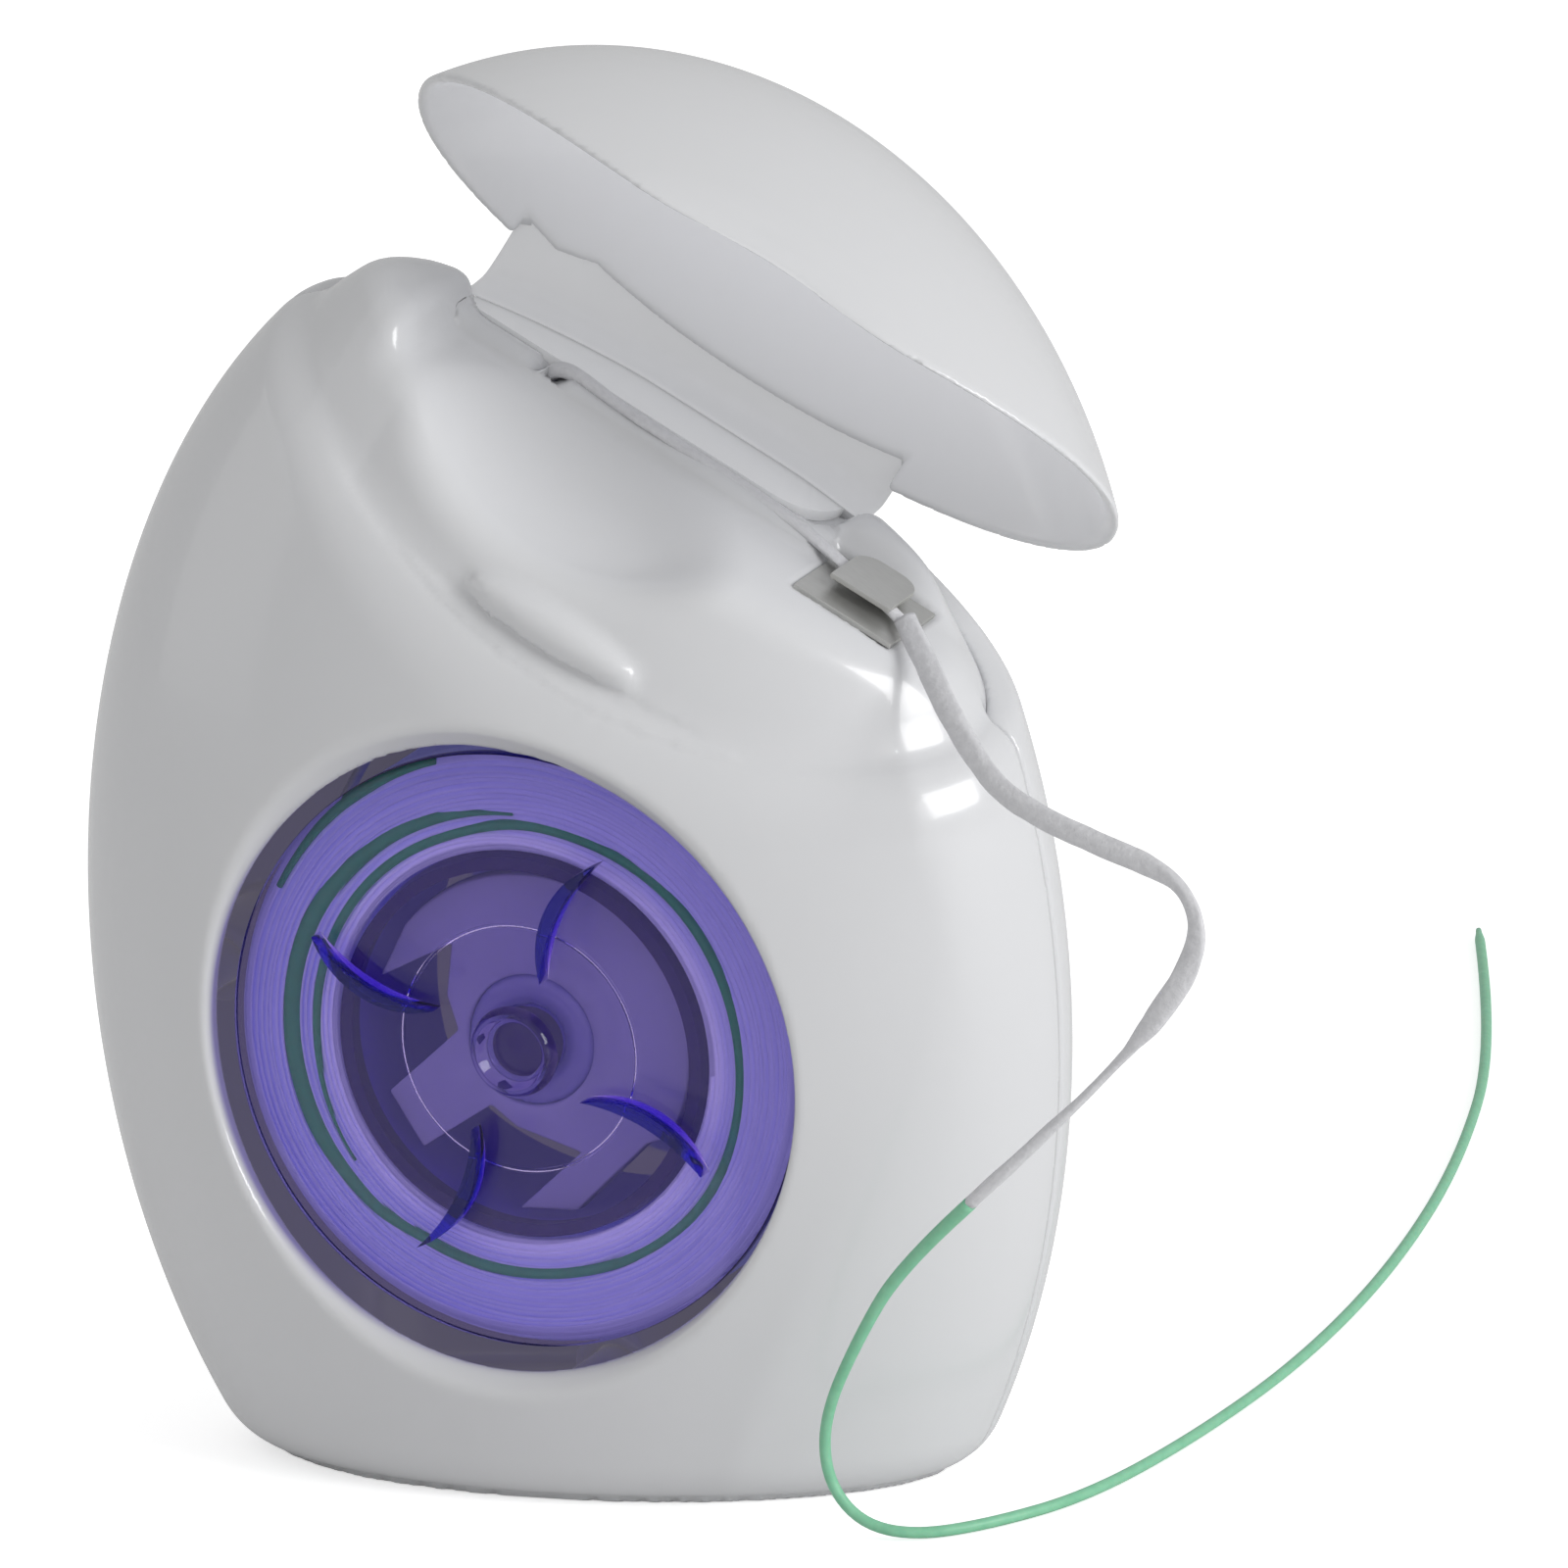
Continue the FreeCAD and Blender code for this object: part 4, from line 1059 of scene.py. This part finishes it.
plasticSettings = {
    "deep": (0.35, 0.9),  # mm under the outer form, where the painted inner shade and glow begin and are full
    "slant": 0.57, "slantTop": 0.042,  # the painted inner shade and glow end below the deck
    "behindRim": (-0.0103, -0.0096),  # and begin behind the window's rim
    "hubRadius": 0.0102, "axisHeight": 0.023,
    # painted shade: the dark violet-grey tone of the walls inside the case; painted light: the inner glows,
    # dimmer and violet behind the hub
    "paintedInnerShade": (0.16, 0.14, 0.34), "innerGlow": (0.07, 0.066, 0.07), "hubGlow": (0.012, 0.011, 0.075),
}


def whitePlastic(name, tone, glow=0.0, faceGlow=0.0):
    # glow and faceGlow are painted light: emission standing in for the light that a thin wall lets through
    # to its inner and outer side
    s = plasticSettings
    f = Finish(name)
    cloud = f.noise(60.0, 3.0)
    speck = f.noise(900.0, 2.0)
    depth = f.add("ShaderNodeAttribute", {"attribute_name": "depth"}, out=2)
    deep = f.add("ShaderNodeMapRange", None, depth, *s["deep"])
    slanted = f.below(f.axis(2) + s["slant"] * f.axis(0), s["slantTop"])
    behind = f.add("ShaderNodeMapRange", None, f.axis(1), *s["behindRim"])
    inside = deep * slanted * behind
    outside = f.blend(cloud, tuple(c * 0.97 for c in tone), tone)
    # painted shade: surfaces inside the case take the dark inner tone
    f.set(Base_Color=f.blend(inside, outside, s["paintedInnerShade"]),
          Roughness=0.2 + 0.08 * speck,
          Coat_Weight=0.35, Coat_Roughness=0.06, IOR=1.5,
          Subsurface_Weight=0.08, Subsurface_Scale=0.002, Subsurface_Radius=(1.0, 0.95, 0.9))
    # painted light: emission on the inner surfaces, dimmer and violet behind the hub, and on outer surfaces
    # of thin walls
    away, height = f.axis(0), f.axis(2) - s["axisHeight"]
    behindHub = f.below(away * away + height * height, s["hubRadius"] ** 2)
    within = f.blend(behindHub, s["innerGlow"], s["hubGlow"])
    through = f.blend(inside, (glow, glow, glow * 1.04), within)
    f.set(Emission_Color=f.blend(deep, (faceGlow, faceGlow, faceGlow), through), Emission_Strength=1.0)
    f.set(Normal=f.bump(f.noise(420.0, 2.0), 0.000012))
    return f


def violetPlastic(name, density):
    f = Finish(name)
    f.set(Base_Color=(0.88, 0.84, 1.0), Roughness=0.02 + 0.03 * f.noise(300.0), IOR=1.38,
          Specular_IOR_Level=0.25, Transmission_Weight=0.985)
    absorb = f.nodes.new("ShaderNodeVolumeAbsorption")
    absorb.inputs["Color"].default_value = (0.357, 0.092, 0.915, 1)
    absorb.inputs["Density"].default_value = density
    f.links.new(absorb.outputs[0], f.output.inputs["Volume"])
    return f


def deepViolet(name):
    f = Finish(name)
    darkFront = f.below(f.axis(1), -0.0060)
    # painted light: the faint violet emission stands in for light reaching the hub through the case
    f.set(Base_Color=f.blend(darkFront, (0.12, 0.085, 0.50), (0.02, 0.006, 0.10)),
          Roughness=0.3 + 0.05 * f.noise(200.0),
          Specular_IOR_Level=0.1, Emission_Color=(0.003, 0.0, 0.03), Emission_Strength=1.0)
    return f


def brushedSteel(name):
    f = Finish(name)
    stretch = f.add("ShaderNodeMapping", None, f.place(), Scale=(300.0, 6000.0, 2500.0))
    grain = f.noise(1.0, 3.0, 0.6, stretch)
    f.set(Base_Color=f.blend(grain, (0.50, 0.50, 0.48), (0.62, 0.62, 0.60)), Metallic=0.85,
          Roughness=0.36 + 0.12 * grain)
    f.set(Normal=f.bump(grain, 0.000006))
    return f


def spongyFloss(name, low, high):
    f = Finish(name)
    fine = f.noise(2600.0, 4.0, 0.65)
    loose = f.noise(700.0, 2.0)
    f.set(Base_Color=f.blend(fine, low, high), Roughness=0.75, Sheen_Weight=0.15)
    f.set(Normal=f.bump(fine * 0.7 + loose, 0.00012))
    return f


def woundFloss(name, low, high, pale):
    # fine streaks round the hub, paler beside it, with a faint painted bluish glow
    f = Finish(name)
    across, height = f.axis(0), f.axis(2) - plasticSettings["axisHeight"]
    radius = f.add("ShaderNodeMath", {"operation": "SQRT"}, across * across + height * height)
    rings = f.add("ShaderNodeCombineXYZ", None, radius * 5200.0, f.axis(0) * 60.0, f.axis(2) * 60.0)
    streak = f.noise(1.0, 4.0, 0.6, rings)
    nearHub = f.add("ShaderNodeMapRange", None, radius, 0.0106, 0.0111, 1.0, 0.0)
    f.set(Base_Color=f.blend(nearHub, f.blend(streak, low, high), pale), Roughness=0.8)
    f.set(Normal=f.bump(streak, 0.00008), Emission_Color=(0.015, 0.015, 0.09), Emission_Strength=1.0)
    return f


def greenFilament(name, low, high):
    f = Finish(name)
    fine = f.noise(1500.0, 3.0)
    f.set(Base_Color=f.blend(fine, low, high), Roughness=0.45,
          Subsurface_Weight=0.15, Subsurface_Scale=0.0004)
    f.set(Normal=f.bump(fine, 0.00004))
    return f


caseWhite = whitePlastic("caseWhite", (0.66, 0.665, 0.68))
# painted light: lighter copies of the case white; the lid glows on its inner side, the strip and tongue on
# their outer side
lidWhitePaintedGlow = whitePlastic("lidWhitePaintedGlow", (0.68, 0.685, 0.70), 0.24)
stripWhitePaintedGlow = whitePlastic("stripWhitePaintedGlow", (0.72, 0.725, 0.74), 0.0, 0.10)
# painted shade: the white brake plate is painted dark violet-grey, for the shade inside the case behind the
# wheel
shadedBrakePlastic = whitePlastic("brakeWhitePaintedShade", (0.34, 0.32, 0.60))
violet = violetPlastic("clearViolet", 260)
finViolet = violetPlastic("finViolet", 4500)
hubViolet = deepViolet("hubViolet")
steel = brushedSteel("brushedSteel")
flossWhite = spongyFloss("flossWhite", (0.55, 0.55, 0.57), (0.74, 0.74, 0.76))
coilWhite = woundFloss("coilWhite", (0.60, 0.62, 0.78), (0.84, 0.86, 1.0), (0.97, 0.98, 1.0))
green = greenFilament("threaderGreen", (0.17, 0.48, 0.29), (0.27, 0.61, 0.40))
# painted shade: a darker copy of the threader green for the turns wound inside the case
paintedShadeGreen = greenFilament("woundGreenPaintedShade", (0.015, 0.34, 0.13), (0.03, 0.44, 0.19))

for piece in (frontShell, rearShell):
    paint(piece, caseWhite)
paint(lidShell, lidWhitePaintedGlow)
for piece in (hingeLeaf, strip):
    paint(piece, stripWhitePaintedGlow)
paint(brakePlate, shadedBrakePlastic)
paint(spoolWheel, violet)
paint(fins, finViolet)
for piece in (spoolHub, spoolPin):
    paint(piece, hubViolet)
paint(cutterPlate, steel)
paint(strand, flossWhite)
paint(feed, flossWhite)
paint(coilTurns, coilWhite)
paint(coilBody, coilWhite)
paint(threader, green)
paint(greenTurn, paintedShadeGreen)
print("materials set")


# Floor, background and lamps
stageSettings = {
    "floorHalf": 3.0, "floorShade": 0.90, "floorLift": 0.55, "world": 0.54,
    "lamps": [
        # name, place, size, level
        ("keyLamp", (0.85, -0.20, 0.36), (0.45, 0.40), 0.58),
        ("leftLamp", (-0.70, -0.25, 0.20), (0.40, 0.40), 0.05),
    ],
}


def addStage(s):
    bm = bmesh.new()
    bmesh.ops.create_grid(bm, x_segments=1, y_segments=1, size=s["floorHalf"])
    floor = bpy.data.objects.new("floor", meshFrom(bm, "floor", False))
    scene.collection.objects.link(floor)
    floor.location.z = cadBox[0].z - 0.00002
    f = Finish("paleFloor")
    path = f.nodes.new("ShaderNodeLightPath")
    camera = Socket(f, path.outputs["Is Camera Ray"])
    f.set(Base_Color=(s["floorShade"],) * 3, Roughness=0.6, Specular_IOR_Level=0.2)
    lift = f.add("ShaderNodeEmission", None, (1, 1, 1), s["floorLift"])
    glow = f.nodes.new("ShaderNodeAddShader")
    f.links.new(f.shader.outputs[0], glow.inputs[0])
    f.links.new(lift.socket, glow.inputs[1])
    pick = f.nodes.new("ShaderNodeMixShader")
    f.links.new(camera.socket, pick.inputs[0])
    f.links.new(f.shader.outputs[0], pick.inputs[1])
    f.links.new(glow.outputs[0], pick.inputs[2])
    f.links.new(pick.outputs[0], f.output.inputs["Surface"])
    paint(floor, f)

    world = bpy.data.worlds.new("paleWorld")
    world.use_nodes = True
    scene.world = world
    nodes, links = world.node_tree.nodes, world.node_tree.links
    background = nodes["Background"]
    path = nodes.new("ShaderNodeLightPath")
    seen = nodes.new("ShaderNodeMath")
    seen.operation = "MAXIMUM"
    links.new(path.outputs["Is Camera Ray"], seen.inputs[0])
    links.new(path.outputs["Is Transmission Ray"], seen.inputs[1])
    level = nodes.new("ShaderNodeMapRange")
    links.new(seen.outputs[0], level.inputs["Value"])
    level.inputs["To Min"].default_value = s["world"]
    level.inputs["To Max"].default_value = 1.0
    links.new(level.outputs[0], background.inputs["Strength"])
    background.inputs["Color"].default_value = (1, 1, 1, 1)

    target = Vector((0, 0, 0.03))
    for name, place, size, level in s["lamps"]:
        lamp = bpy.data.lights.new(name, "AREA")
        lamp.shape = "RECTANGLE"
        lamp.size, lamp.size_y = size
        place = Vector(place)
        lamp.energy = level * pi * pi * (place - target).length_squared
        holder = bpy.data.objects.new(name, lamp)
        scene.collection.objects.link(holder)
        holder.location = place
        holder.rotation_mode = "QUATERNION"
        holder.rotation_quaternion = (target - place).to_track_quat("-Z", "Y")


addStage(stageSettings)
print("stage set")
